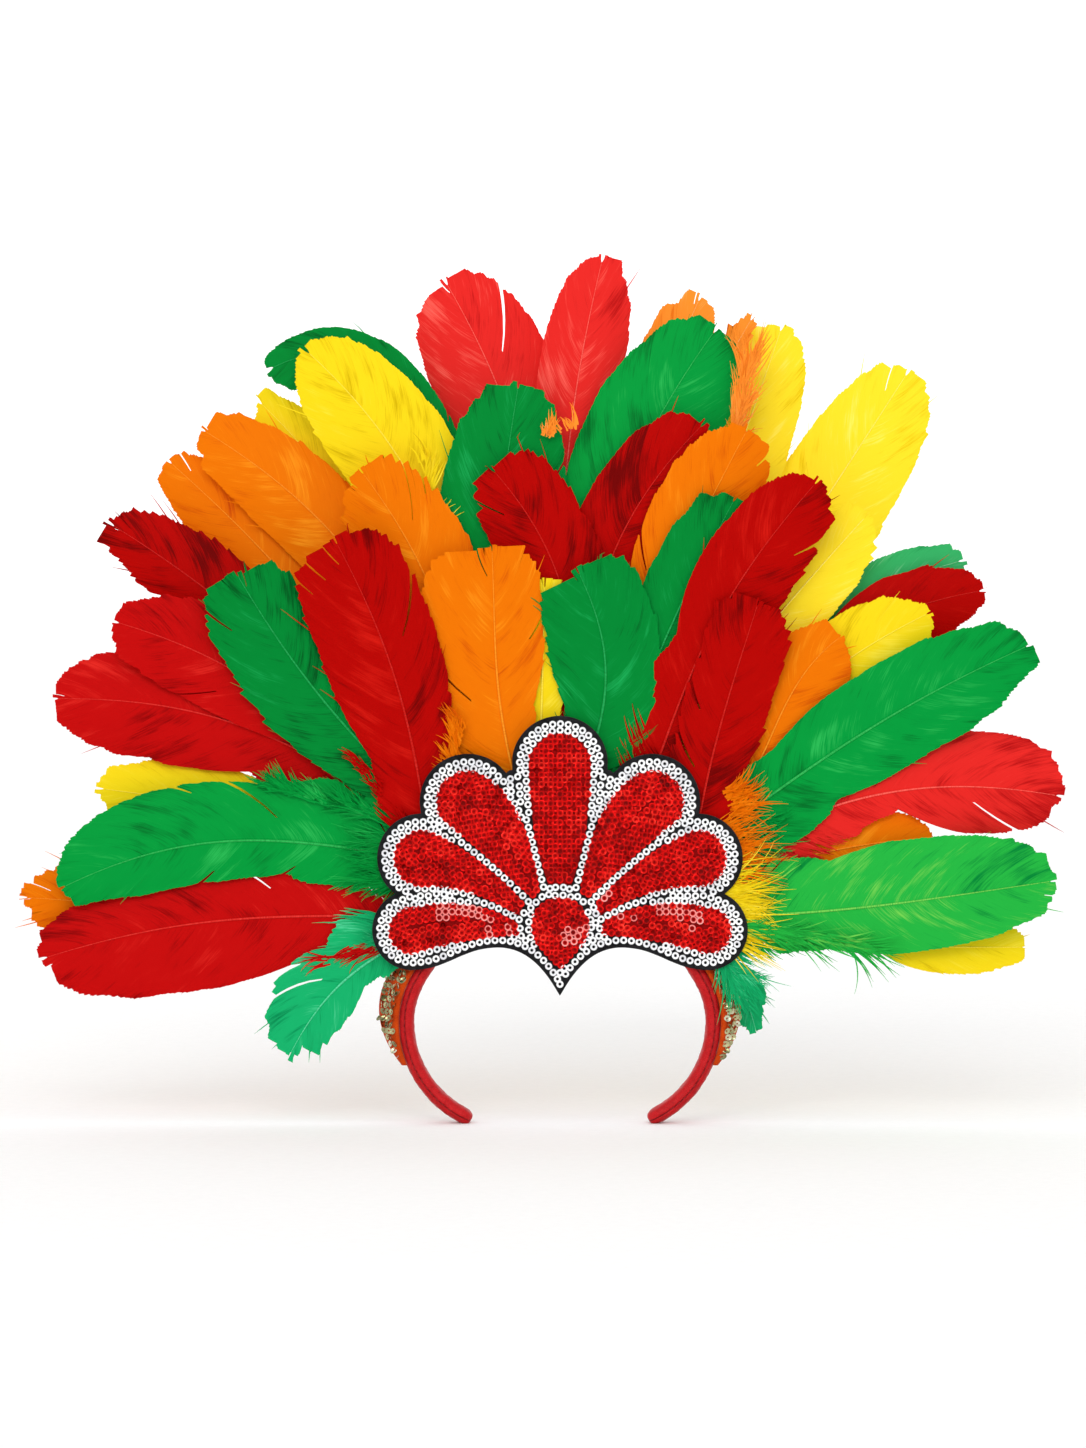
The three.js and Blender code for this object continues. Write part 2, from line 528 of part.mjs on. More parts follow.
// A quill with a vane that is thickest at the quill and falls back towards both edges
function feather(row) {
  const path = quillPath(row);
  const { start } = KINDS[row.kind];
  const shares = [0, ...VANE_STATIONS.map((share) => start + (1 - start) * share), 1];
  const rings = shares.map((share) => {
    const at = path.getPoint(share);
    const along = path.getTangent(share);
    const right = new THREE.Vector2(along.y, -along.x);
    const vaneAcross = vaneWidth(row.kind, row.width * VANE_WIDTH, share);
    const width = Math.max(vaneAcross, QUILL_DIAMETER * QUILL_TIP_SHARE);
    const leftWidth = width > QUILL_DIAMETER ? width * row.left : width / 2;
    const quill = QUILL_DIAMETER * (1 - (1 - QUILL_TIP_SHARE) * share);
    const vane = Math.min(VANE_THICKNESS, quill);
    const point = (across, thickness) => {
      const flat = at.clone().addScaledVector(right, across * (across > 0 ? width - leftWidth : leftWidth));
      const { middle, half } = layerAt(row.layer, flat.distanceTo(HUB));
      const room = Math.max(2 * half - quill, 0);
      const fall = room * CAMBER_SHARE * across * across * Math.min(1, width / VANE_WIDTH);
      return new THREE.Vector3(flat.x, middle - room / 2 + fall + thickness / 2, flat.y);
    };
    return [
      point(-1, 0), point(-0.5, -vane), point(0, -quill), point(0.5, -vane),
      point(1, 0), point(0.5, vane), point(0, quill), point(-0.5, vane),
    ];
  });
  const backFrom = rings[0].length / 2;
  return loft(rings, backFrom);
}

addPiece("headband", headband(), COLOURS.satin, 0.45);
addCrest();
addPiece("feather_block", featherBlock(), COLOURS.felt, 0.95);
for (const [name, side] of [["left", -1], ["right", 1]]) {
  addPiece(`side_trim_${name}`, trimStrip(side, 0, 0, TRIM_FELT), COLOURS.orangeFelt, 0.95);
  const sequins = trimStrip(side, TRIM_FELT + GAP, TRIM_EDGE, TRIM_SEQUINS);
  addPiece(`side_sequins_${name}`, sequins, COLOURS.goldSequin, 0.35, 0.4);
}
for (const cells of FEATHERS) {
  const row = Object.fromEntries(COLUMNS.map((column, i) => [column, cells[i]]));
  addPiece(`feather_${row.name}`, feather(row), COLOURS[row.hue], 0.8);
}

export default group;
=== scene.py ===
import math

import bpy
import numpy as np
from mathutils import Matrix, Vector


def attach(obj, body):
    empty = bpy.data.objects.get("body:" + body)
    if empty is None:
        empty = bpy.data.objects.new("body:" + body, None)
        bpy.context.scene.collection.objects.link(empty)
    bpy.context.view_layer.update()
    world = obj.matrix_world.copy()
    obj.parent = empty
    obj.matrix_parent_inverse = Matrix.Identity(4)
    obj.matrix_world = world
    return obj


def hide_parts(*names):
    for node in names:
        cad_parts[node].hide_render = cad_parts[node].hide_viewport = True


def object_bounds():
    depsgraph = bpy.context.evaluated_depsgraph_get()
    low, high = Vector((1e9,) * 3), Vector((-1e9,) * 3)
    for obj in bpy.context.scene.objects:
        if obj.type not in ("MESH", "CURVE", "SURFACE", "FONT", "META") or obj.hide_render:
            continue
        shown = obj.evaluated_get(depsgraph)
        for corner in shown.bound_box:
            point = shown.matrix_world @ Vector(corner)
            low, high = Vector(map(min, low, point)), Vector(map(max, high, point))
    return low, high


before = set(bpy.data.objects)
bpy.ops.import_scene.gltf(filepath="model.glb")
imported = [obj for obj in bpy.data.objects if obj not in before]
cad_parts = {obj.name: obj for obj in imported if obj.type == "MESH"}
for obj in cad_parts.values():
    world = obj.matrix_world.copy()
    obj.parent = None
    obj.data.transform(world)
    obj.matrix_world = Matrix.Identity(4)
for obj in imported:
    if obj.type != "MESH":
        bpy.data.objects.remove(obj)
CAD_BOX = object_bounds()

MM = 0.001
PICTURE_WIDTH, PICTURE_HEIGHT = 1086, 1448

# Sizes of the frame, as the part has them
GAP = 0.3
BAND_TOP_RADIUS, BAND_TOP_SWEEP = 64.7, 63
BAND_SIDE_RADIUS = 32
BAND_ARM_RADIUS, BAND_ARM_SWEEP = 41, 61
BAND_THICKNESS, BAND_DEPTH, BAND_SQUARENESS, BAND_TIP_LENGTH = 7, 12, 2.7, 5
HUB = np.array([0, -5.5])
BLOCK_RADIUS, LAYERS, LAYER_PITCH = 60, 9, 1.8
BLOCK_FRONT = -BAND_DEPTH / 2
BACKING_BACK, BACKING_FRONT = -6.3, -8.8
SEQUIN_BACK = BACKING_FRONT - GAP
TRIM_TOP_DROP, TRIM_LENGTH, TRIM_WIDTH, TRIM_FLARE = 24, 44, 12.5, 41
TRIM_FELT, TRIM_POINT = 1.6, 0.8
TRIM_HOLD, TRIM_BLUNT = 1.3, 0.8
TRIM_FRONT = -4.1
FAN_REACH, FAN_START, FAN_SPREAD, FAN_LEAN = 280, 86, 0.058, 3.6
VANE_WIDTH, QUILL_DIAMETER, QUILL_TIP_SHARE = 50, 1.2, 0.5
HANDLE_SHARE, CAMBER_SHARE, VANE_FULLNESS = 0.4, 0.8, 0.8
CAMBER_ROOM = 4            # the most depth that a vane's camber takes here

# Feathers. kind: where the vane starts and is widest, as shares of the quill, and how blunt it ends
KINDS = {
    "broad": (0.08, 0.6, 2.6),
    "ragged": (0.06, 0.62, 4.5),
    "back": (0.3, 0.7, 2.6),
    "hidden": (0.52, 0.8, 2.4),
    "fluffy": (0.28, 0.66, 2.2),
}
# name, dye, kind, layer, seat, aim, reach, leave, arrive, width, left, as the part has them
FEATHERS = [
    ("left_fluff_green", "sea_green", "fluffy", 2, -97, -117, 0.455, 17, -19, 0.7, 0.42),
    ("left_long_red", "crimson", "broad", 3, -90, -94.6, 0.78, 7, -11, 0.98, 0.58),
    ("left_tip_orange", "orange", "hidden", 4, -92.5, -88, 0.81, 0, 0, 0.66, 0.5),
    ("left_long_green", "light_green", "broad", 2, -67, -86.6, 0.75, 14, -22, 0.78, 0.34),
    ("left_long_yellow", "yellow", "back", 5, -64, -74.6, 0.72, 3, -4, 0.54, 0.5),
    ("left_wide_red", "crimson", "back", 4, -58, -66.8, 0.83, 17, -21, 0.86, 0.48),
    ("left_coral_red", "crimson", "back", 3, -55, -56.4, 0.803, 7, -17, 0.8, 0.5),
    ("left_dark_red", "deep_red", "back", 5, -50, -49, 0.9, 4, -10, 0.66, 0.5),
    ("left_upright_green", "green", "ragged", 1, -52, -43, 0.71, -7, 9, 0.8, 0.5),
    ("left_front_red", "deep_red", "ragged", 0, -63, -30.6, 0.66, 8, -11, 1.02, 0.56),
    ("left_low_orange", "orange", "back", 7, -46, -41, 0.907, 7, -10, 0.66, 0.52),
    ("left_high_orange", "orange", "back", 6, -43, -36.6, 0.912, 21, -25, 0.76, 0.5),
    ("left_inner_orange", "orange", "back", 3, -33, -24, 0.735, 10, -17, 0.86, 0.5),
    ("left_tall_yellow", "yellow", "back", 5, -35, -24.3, 0.935, 20, -27, 0.94, 0.5),
    ("left_back_yellow", "yellow", "hidden", 7, -41, -30.6, 0.9, 8, -20, 0.5, 0.5),
    ("left_curled_green", "green", "back", 6, -31, -28.5, 0.93, 36, -92, 0.62, 0.5),
    ("centre_orange", "orange", "ragged", 1, -18, -10.4, 0.564, -9, 3, 1, 0.6),
    ("centre_yellow", "yellow", "ragged", 2, -8, -2.6, 0.5, 0, 0, 0.45, 0.5),
    ("top_left_red", "coral", "hidden", 7, -13, -10.4, 0.973, 17, -21, 1, 0.5),
    ("top_centre_red", "coral", "hidden", 6, 4, 3.8, 0.995, -7, 10, 0.7, 0.48),
    ("top_left_green", "green", "broad", 4, -15, -4.4, 0.803, -12, 10, 1.06, 0.5),
    ("top_right_green", "light_green", "back", 5, 10, 15, 0.915, -15, 20, 1.08, 0.5),
    ("top_back_orange", "pale_orange", "hidden", 8, 7, 13, 0.958, -10, 10, 0.62, 0.5),
    ("top_wisp_orange", "pale_orange", "hidden", 6, 14, 18, 0.95, -8, 12, 0.42, 0.5),
    ("top_right_yellow", "pale_yellow", "back", 7, 18, 20.8, 0.95, 0, -3, 0.7, 0.5),
    ("top_far_yellow", "pale_yellow", "back", 8, 30, 33, 0.977, 0, 0, 0.95, 0.5),
    ("centre_dark_red", "deep_red", "ragged", 3, 3, -8.6, 0.68, 21, -28, 0.8, 0.48),
    ("right_dark_red", "deep_red", "back", 4, 12, 16.3, 0.772, -23, 27, 0.8, 0.5),
    ("right_tall_orange", "orange", "back", 3, 16, 21, 0.787, -5, 5, 0.8, 0.5),
    ("right_dark_green", "green", "back", 2, 20, 22.6, 0.682, -4, 4, 0.72, 0.5),
    ("right_tall_red", "deep_red", "back", 1, 36, 30.4, 0.762, -10, 13, 0.78, 0.5),
    ("right_back_yellow", "pale_yellow", "back", 4, 32, 37.4, 0.76, -2, 3, 0.68, 0.5),
    ("centre_green", "green", "ragged", 1, 9, 3, 0.52, 24, -25, 0.92, 0.5),
    ("right_front_red", "deep_red", "ragged", 0, 66, 32, 0.56, -5, 3, 0.86, 0.46),
    ("right_inner_orange", "orange", "back", 2, 58, 45, 0.6, 30, 17, 0.64, 0.5),
    ("right_long_yellow", "yellow", "back", 3, 54, 50.5, 0.72, -9, 15, 0.7, 0.5),
    ("right_pale_green", "pale_green", "back", 6, 50, 48.8, 0.81, -18, 27, 0.54, 0.5),
    ("right_back_red", "deep_red", "hidden", 5, 56, 52.6, 0.805, -21, 30, 0.6, 0.5),
    ("right_long_green", "light_green", "broad", 1, 64, 59.6, 0.815, -4, 7, 0.86, 0.46),
    ("right_coral_red", "coral", "hidden", 2, 70, 76.3, 0.773, -17, 21, 0.8, 0.5),
    ("right_short_orange", "orange", "broad", 3, 77, 78, 0.575, -4, 7, 0.5, 0.5),
    ("right_low_green", "lime_green", "broad", 0, 90, 85.4, 0.742, 5, -3, 0.9, 0.52),
    ("right_low_yellow", "yellow", "hidden", 3, 96, 93.7, 0.703, 3, -3, 0.56, 0.5),
    ("right_fluff_green", "sea_green", "fluffy", 8, 101, 120.7, 0.344, -28, 16, 0.34, 0.5),
]

# Dyes: shade, body and light of a feather's colour, as sRGB values from 0 to 255. The shade and light ends
# also give the painted shade and painted sheen that the tone and the streaks ask for
DYES = {
    "deep_red": ((108, 0, 0), (172, 2, 0), (204, 24, 14)),
    "crimson": ((124, 0, 2), (186, 8, 8), (222, 42, 34)),
    "coral": ((172, 12, 14), (220, 38, 34), (246, 98, 86)),
    "green": ((0, 76, 26), (0, 128, 48), (26, 166, 84)),
    "light_green": ((0, 102, 36), (2, 146, 56), (44, 180, 84)),
    "lime_green": ((0, 126, 50), (34, 172, 62), (124, 206, 82)),
    "sea_green": ((0, 124, 72), (20, 170, 102), (90, 214, 160)),
    "pale_green": ((10, 124, 62), (52, 168, 96), (138, 212, 160)),
    "orange": ((200, 74, 0), (228, 112, 0), (244, 148, 24)),
    "pale_orange": ((224, 102, 10), (246, 142, 44), (253, 190, 112)),
    "yellow": ((202, 168, 0), (238, 208, 22), (250, 228, 74)),
    "pale_yellow": ((226, 190, 6), (248, 220, 40), (253, 238, 108)),
}

# Barbs. SWEEP and BEND say how a barb curves: towards the tip, and away from the quill
BARB_PITCH, DOWN_PITCH = 0.7, 0.5      # along the quill
BARB_SWEEP, BARB_BEND = 1.25, 1.15
BARB_WIDTH, DOWN_WIDTH, STRAND_WIDTH = 0.6, 1.1, 0.6
BARB_STATIONS = np.array([0, 0.08, 0.2, 0.36, 0.54, 0.7, 0.84, 0.94, 1])
BARB_ANGLES = ((0, 0.12, 0.35, 0.8, 1), (52, 45, 39, 31, 20))  # share of the quill, degrees off it
SHINGLE_TILT = math.radians(13)
LAST_BARB = 0.985            # share of the quill where the last barb leaves it and its mesh ends
LIFT_SHARE = 0.4             # how much of a barb's own lift is left between the layers
RIPPLE_PITCH, RIPPLE_DEPTH = 17, 0.6
CELL_MARGIN = 0.005          # free room at the ends of a cell of the bake map


def linear(colour):
    """An sRGB colour of 0 to 255 as linear red, green, blue and alpha."""
    shares = np.array(colour) / 255
    return (*np.where(shares <= 0.04045, shares / 12.92, ((shares + 0.055) / 1.055) ** 2.4), 1)


def heading(angle):
    turn = np.radians(angle)
    return np.stack([np.sin(turn), np.cos(turn)], axis=-1)


def polar(centre, angle, reach):
    return centre + heading(angle) * np.asarray(reach)[..., None]


def run_along(places):
    """How far along its row each point lies, for one row of points or for several."""
    steps = np.linalg.norm(np.diff(places, axis=-2), axis=-1)
    return np.concatenate([np.zeros((*steps.shape[:-1], 1)), np.cumsum(steps, axis=-1)], axis=-1)


def points_at(row, run, at):
    """The points of a row at some distances, where run says how far along each of its points is."""
    return np.stack([np.interp(at, run, row[:, k]) for k in range(row.shape[1])], axis=1)


def hand_over(piece, slot, *nodes):
    """Has a piece ride on the body and stand for solids. The slot is not used."""
    if nodes:
        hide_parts(*nodes)
    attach(piece, "root")


# Meshes

EVEN_TONE = 0.5              # the tone that leaves a dye as it is


def make_object(name, points, faces, uvs=(), materials=(), slots=None, smooth=True):
    """An object from points in millimetres, faces and UV maps given point by point."""
    mesh = bpy.data.meshes.new(name)
    mesh.from_pydata((np.asarray(points) * MM).tolist(), [], [list(face) for face in faces])
    corners = np.zeros(len(mesh.loops), dtype=np.int32)
    mesh.loops.foreach_get("vertex_index", corners)
    for layer_name, values in uvs:
        layer = mesh.uv_layers.new(name=layer_name)
        layer.data.foreach_set("uv", np.asarray(values, dtype=np.float32)[corners].ravel())
    for material in materials:
        mesh.materials.append(material)
    if slots is not None:
        mesh.polygons.foreach_set("material_index", np.asarray(slots, dtype=np.int32))
    mesh.polygons.foreach_set("use_smooth", np.full(len(mesh.polygons), smooth))
    mesh.update()
    piece = bpy.data.objects.new(name, mesh)
    bpy.context.scene.collection.objects.link(piece)
    return piece


class Parts:
    """Points, faces and UVs that are gathered for one object."""

    def __init__(self):
        self.points, self.faces, self.uvs, self.bake, self.tones, self.slots = [], [], [], [], [], []
        self.count = 0

    def add(self, points, faces, uv, bake, slot=0, tone=0):
        points = np.asarray(points)
        self.faces.append(np.asarray(faces) + self.count)
        self.points.append(points.reshape(-1, 3))
        self.uvs.append(np.asarray(uv).reshape(-1, 2))
        self.bake.append(np.asarray(bake).reshape(-1, 2))
        shades = np.broadcast_to(tone, points.shape[:-1]).ravel()
        self.tones.append(np.stack([EVEN_TONE + shades, np.full(len(shades), EVEN_TONE)], axis=1))
        self.slots.append(np.broadcast_to(slot, len(faces)))
        self.count += len(self.points[-1])

    def make(self, name, materials, smooth=True):
        faces = [face for block in self.faces for face in block.tolist()]
        return make_object(
            name, np.concatenate(self.points), faces,
            [("Barb", np.concatenate(self.uvs)), ("OFBake", np.concatenate(self.bake)),
             ("Tone", np.concatenate(self.tones))],
            materials, np.concatenate(self.slots), smooth)


def grid_faces(rows, columns, wrap=False):
    """Quads of a grid of points, row by row. wrap joins the last column to the first."""
    across = columns if wrap else columns - 1
    i, j = np.meshgrid(np.arange(rows - 1), np.arange(across), indexing="ij")
    k = (j + 1) % columns
    return np.stack([i * columns + j, i * columns + k, (i + 1) * columns + k, (i + 1) * columns + j],
                    axis=-1).reshape(-1, 4)


def tube_faces(rows, columns):
    """Faces of a closed tube: its side and both ends."""
    last = (rows - 1) * columns
    ends = [list(range(columns))[::-1], [last + i for i in range(columns)]]
    return grid_faces(rows, columns, wrap=True).tolist() + ends


# Materials

class Nodes:
    """A material and short calls that add nodes to it."""

    def __init__(self, name):
        self.material = bpy.data.materials.new(name)
        self.material.use_nodes = True
        self.tree = self.material.node_tree
        self.shader = self.tree.nodes["Principled BSDF"]

    def link(self, output, socket):
        self.tree.links.new(output, socket)

    def node(self, kind, **settings):
        made = self.tree.nodes.new(kind)
        for key, value in settings.items():
            setattr(made, key, value)
        return made

    def uv(self, name):
        return self.node("ShaderNodeUVMap", uv_map=name).outputs["UV"]

    def tone(self):
        """The tone that the mesh gives: random tone, and painted light and shade."""
        split = self.node("ShaderNodeSeparateXYZ")
        self.link(self.uv("Tone"), split.inputs["Vector"])
        return split.outputs["X"]

    def object_place(self):
        return self.node("ShaderNodeTexCoord").outputs["Object"]

    def scaled(self, place, scale):
        mapping = self.node("ShaderNodeMapping")
        mapping.inputs["Scale"].default_value = scale
        self.link(place, mapping.inputs["Vector"])
        return mapping.outputs["Vector"]

    def noise(self, place, scale, detail=2.0, roughness=0.5):
        made = self.node("ShaderNodeTexNoise")
        made.inputs["Scale"].default_value = scale
        made.inputs["Detail"].default_value = detail
        made.inputs["Roughness"].default_value = roughness
        self.link(place, made.inputs["Vector"])
        return made.outputs["Fac"]

    def math(self, operation, one, other):
        made = self.node("ShaderNodeMath", operation=operation)
        for socket, value in zip(made.inputs, (one, other)):
            if isinstance(value, (int, float)):
                socket.default_value = value
            else:
                self.link(value, socket)
        return made.outputs[0]

    def colour(self, factor, stops):
        """Colours the surface by a factor, through stops of place and linear colour."""
        made = self.node("ShaderNodeValToRGB")
        elements = made.color_ramp.elements
        for place, colour in stops[2:]:
            elements.new(place)
        for element, (place, colour) in zip(sorted(elements, key=lambda e: e.position), stops):
            element.position = place
            element.color = colour
        self.link(factor, made.inputs["Fac"])
        self.link(made.outputs["Color"], self.shader.inputs["Base Color"])

    def bump(self, height, strength, distance):
        made = self.node("ShaderNodeBump")
        made.inputs["Strength"].default_value = strength
        made.inputs["Distance"].default_value = distance
        self.link(height, made.inputs["Height"])
        self.link(made.outputs["Normal"], self.shader.inputs["Normal"])

    def set(self, **values):
        for key, value in values.items():
            self.shader.inputs[key.replace("_", " ")].default_value = value


def feather_material(dye):
    """Barbs: streaks that run along them, broader ones by clump, and cloudy patches, partly random dye and
    partly painted sheen; the mesh's tone adds painted light and shade.
    """
    shade, body, light = (linear(colour) for colour in DYES[dye])
    nodes = Nodes(f"feather_{dye}")
    barb = nodes.uv("Barb")
    fine = nodes.noise(nodes.scaled(barb, (1, 0.04, 1)), scale=2, detail=2, roughness=0.6)
    broad = nodes.noise(nodes.scaled(barb, (1, 0.4, 1)), scale=0.14)
    patch = nodes.noise(nodes.object_place(), scale=26)
    # Streaks, clumps and patches: partly random dye and partly painted sheen
    streaks = nodes.math("MULTIPLY", fine, 0.38)
    clumps = nodes.math("MULTIPLY", broad, 0.4)
    patches = nodes.math("MULTIPLY", patch, 0.42)
    dye_and_sheen_tone = nodes.math("ADD", nodes.math("ADD", streaks, clumps), patches)
    tone = nodes.math("SUBTRACT", nodes.math("ADD", dye_and_sheen_tone, nodes.tone()), EVEN_TONE)
    nodes.colour(tone, [(0.4, shade), (0.54, body), (0.66, body), (0.84, light)])
    nodes.bump(fine, strength=0.08, distance=0.00018)
    nodes.set(Roughness=0.55, Specular_IOR_Level=0.03)
    return nodes.material


def quill_material(dye):
    """The quill takes the dye less evenly, and is glossier and paler than the vane."""
    shade, body, light = (linear(colour) for colour in DYES[dye])
    nodes = Nodes(f"quill_{dye}")
    along = nodes.noise(nodes.scaled(nodes.uv("Barb"), (0.05, 1, 1)), scale=3)
    pale = tuple(0.94 * value + 0.03 for value in light)
    nodes.colour(along, [(0.3, body), (0.55, light), (0.8, pale)])
    nodes.bump(nodes.noise(nodes.object_place(), scale=900), strength=0.15, distance=0.0001)
    nodes.set(Roughness=0.4, Specular_IOR_Level=0.12)
    return nodes.material


def felt_material(name, dark, light):
    """Felt: short fibres in all directions, and thicker and thinner patches."""
    nodes = Nodes(name)
    place = nodes.object_place()
    fibres = nodes.noise(nodes.scaled(place, (1, 1, 2.2)), scale=1500, detail=4, roughness=0.7)
    patches = nodes.noise(place, scale=160, detail=3, roughness=0.6)
    mix = nodes.math("ADD", nodes.math("MULTIPLY", fibres, 0.6), nodes.math("MULTIPLY", patches, 0.4))
    nodes.colour(mix, [(0.36, linear(dark)), (0.66, linear(light))])
    nodes.bump(fibres, strength=0.7, distance=0.0004)
    nodes.set(Roughness=0.95, Specular_IOR_Level=0.1, Sheen_Weight=0.03, Sheen_Roughness=0.6)
    return nodes.material


def satin_material():
    """Red satin: a fine weave across the band, soft changes along it that follow the folds as painted shade,
    a seam painted darker as shade in its groove, and an outer strip painted darker as shade.
    """
    nodes = Nodes("red_satin")
    place = nodes.uv("Barb")
    threads = nodes.noise(nodes.scaled(place, (5, 0.8, 1)), scale=1)
    cross = nodes.noise(nodes.scaled(place, (0.8, 6, 1)), scale=1)
    folds = nodes.noise(nodes.scaled(place, (0.3, 0.25, 1)), scale=1, detail=3, roughness=0.6)
    # The folds noise, which also makes the bump, lightens and darkens the satin as painted shade
    tone = nodes.math("ADD", nodes.math("MULTIPLY", folds, 0.35), nodes.math("MULTIPLY", threads, 0.65))
    split = nodes.node("ShaderNodeSeparateXYZ")
    nodes.link(place, split.inputs["Vector"])
    around = split.outputs["Y"]
    # Painted shade: darker in the seam's groove, and darker on the outer strip past the seam
    from_seam = nodes.math("MINIMUM", nodes.math("MULTIPLY", nodes.math("ABSOLUTE", around, 0), 2.2), 1)
    outer = nodes.math("MULTIPLY", nodes.math("GREATER_THAN", around, 0), 0.06)
    tone = nodes.math("SUBTRACT", nodes.math("ADD", tone, nodes.math("MULTIPLY", from_seam, 0.3)), outer)
    nodes.colour(tone, [(0.5, linear((92, 0, 6))), (0.66, linear((158, 8, 14))),
                        (0.82, linear((188, 16, 22))), (1, linear((208, 34, 40)))])
    weave = nodes.math("ADD", threads, cross)
    relief = nodes.math("ADD", nodes.math("MULTIPLY", weave, 0.4), folds)
    nodes.bump(relief, strength=0.4, distance=0.0003)
    nodes.set(Roughness=0.5, Specular_IOR_Level=0.16, Sheen_Weight=0.04, Sheen_Roughness=0.35)
    return nodes.material


def thread_material(name, dark, light):
    nodes = Nodes(name)
    twist = nodes.noise(nodes.object_place(), scale=2600)
    nodes.colour(twist, [(0.35, linear(dark)), (0.7, linear(light))])
    nodes.bump(twist, strength=0.4, distance=0.0001)
    nodes.set(Roughness=0.6, Specular_IOR_Level=0.35)
    return nodes.material


def sequin_material(name, dark, body, light, roughness, metallic, coat):
    """Cup sequins: each a little different, with a glossy coat."""
    nodes = Nodes(name)
    each = nodes.noise(nodes.uv("Barb"), scale=7, detail=1)
    spread = nodes.noise(nodes.object_place(), scale=90)
    tone = nodes.math("ADD", nodes.math("MULTIPLY", each, 0.6), nodes.math("MULTIPLY", spread, 0.4))
    nodes.colour(tone, [(0.36, linear(dark)), (0.52, linear(body)), (0.68, linear(light))])
    nodes.bump(nodes.noise(nodes.object_place(), scale=1400, detail=1), strength=0.12, distance=0.0001)
    nodes.set(Roughness=roughness, Metallic=metallic, Specular_IOR_Level=0.3)
    nodes.set(Coat_Weight=coat, Coat_Roughness=0.12)
    return nodes.material


# Camera and stage. The picture is VIEW_WIDTH wide at the crest, seen from a little above
VIEW_WIDTH = 456.1
VIEW_CENTRE = np.array([-7.1, 0, 75.6])
VIEW_DISTANCE = 3500
VIEW_ELEVATION = 3
SENSOR = 36
NEAR_CLIP, FAR_CLIP = 0.05, 50         # metres


def add_camera():
    data = bpy.data.cameras.new("camera")
    camera = bpy.data.objects.new("camera", data)
    bpy.context.scene.collection.objects.link(camera)
    up = math.radians(VIEW_ELEVATION)
    back = np.array([0, -math.cos(up), math.sin(up)])
    camera.location = (VIEW_CENTRE + back * VIEW_DISTANCE) * MM
    camera.rotation_euler = (math.pi / 2 - up, 0, 0)
    data.sensor_width = SENSOR
    data.lens = SENSOR * VIEW_DISTANCE / (VIEW_WIDTH * PICTURE_HEIGHT / PICTURE_WIDTH)
    data.clip_start, data.clip_end = NEAR_CLIP, FAR_CLIP
    bpy.context.scene.camera = camera


def add_light(name, place, target, size, power):
    """A square lamp at a place, turned to a target, all in metres."""
    data = bpy.data.lights.new(name, "AREA")
    data.size = size
    data.energy = power
    light = bpy.data.objects.new(name, data)
    bpy.context.scene.collection.objects.link(light)
    light.location = place
    toward = np.array(target, dtype=float) - np.array(place, dtype=float)
    yaw = math.atan2(toward[1], toward[0])
    pitch = math.atan2(toward[2], math.hypot(toward[0], toward[1]))
    light.rotation_euler = (math.pi / 2 + pitch, 0, yaw - math.pi / 2)


FLOOR_RINGS = (400, 900, 2000, 4000)
FLOOR_RADIUS, FLOOR_BEND, WALL_HEIGHT = 6500, 1500, 2600
FLOOR_SIDES, BEND_STEPS = 72, 19


def add_sun(name, azimuth, elevation, strength, softness):
    data = bpy.data.lights.new(name, "SUN")
    data.energy = strength
    data.angle = math.radians(softness)
    light = bpy.data.objects.new(name, data)
    bpy.context.scene.collection.objects.link(light)
    light.rotation_euler = (math.radians(90 - elevation), 0, math.radians(azimuth))


def add_stage():
    """A pale floor that curves up into a wall all round, under an even sky with soft lights in front."""
    floor_z = CAD_BOX[0].z / MM
    profile = [(radius, 0) for radius in FLOOR_RINGS]
    for bend in np.radians(np.linspace(0, 90, BEND_STEPS)):
        profile.append((FLOOR_RADIUS + FLOOR_BEND * math.sin(bend), FLOOR_BEND * (1 - math.cos(bend))))
    profile.append((FLOOR_RADIUS + FLOOR_BEND, WALL_HEIGHT))
    turns = np.linspace(0, 2 * np.pi, FLOOR_SIDES, endpoint=False)
    points = [(radius * math.cos(turn), radius * math.sin(turn), floor_z + height)
              for radius, height in profile for turn in turns]
    faces = grid_faces(len(profile), len(turns), wrap=True)[:, ::-1].tolist()
    faces.append(list(range(len(turns))))
    nodes = Nodes("floor_paper")
    grain = nodes.noise(nodes.object_place(), scale=240, detail=3)
    nodes.colour(grain, [(0.3, linear((250, 250, 250))), (0.7, linear((253, 253, 253)))])
    nodes.set(Roughness=0.9, Specular_IOR_Level=0.1)
    floor = make_object("floor", points, faces, materials=[nodes.material])

    world = bpy.data.worlds.new("studio")
    world.use_nodes = True
    background = world.node_tree.nodes["Background"]
    background.inputs["Color"].default_value = (1, 1, 1, 1)
    background.inputs["Strength"].default_value = 0.92
    bpy.context.scene.world = world
    add_sun("soft_key", azimuth=-6, elevation=20, strength=1.55, softness=40)
    add_light("glint_left", place=(-1.3, -1.9, 1.7), target=(0, 0, 0.05), size=0.3, power=2)
    bpy.context.scene.view_settings.view_transform = "Standard"


# Feathers

def bezier(control, share):
    """Points and unit directions of a cubic curve."""
    one, two, three, four = (np.asarray(point) for point in control)
    share = np.asarray(share)[..., None]
    rest = 1 - share
    place = rest ** 3 * one + 3 * rest ** 2 * share * two + 3 * rest * share ** 2 * three + share ** 3 * four
    along = 3 * rest ** 2 * (two - one) + 6 * rest * share * (three - two) + 3 * share ** 2 * (four - three)
    return place, along / np.linalg.norm(along, axis=-1, keepdims=True)


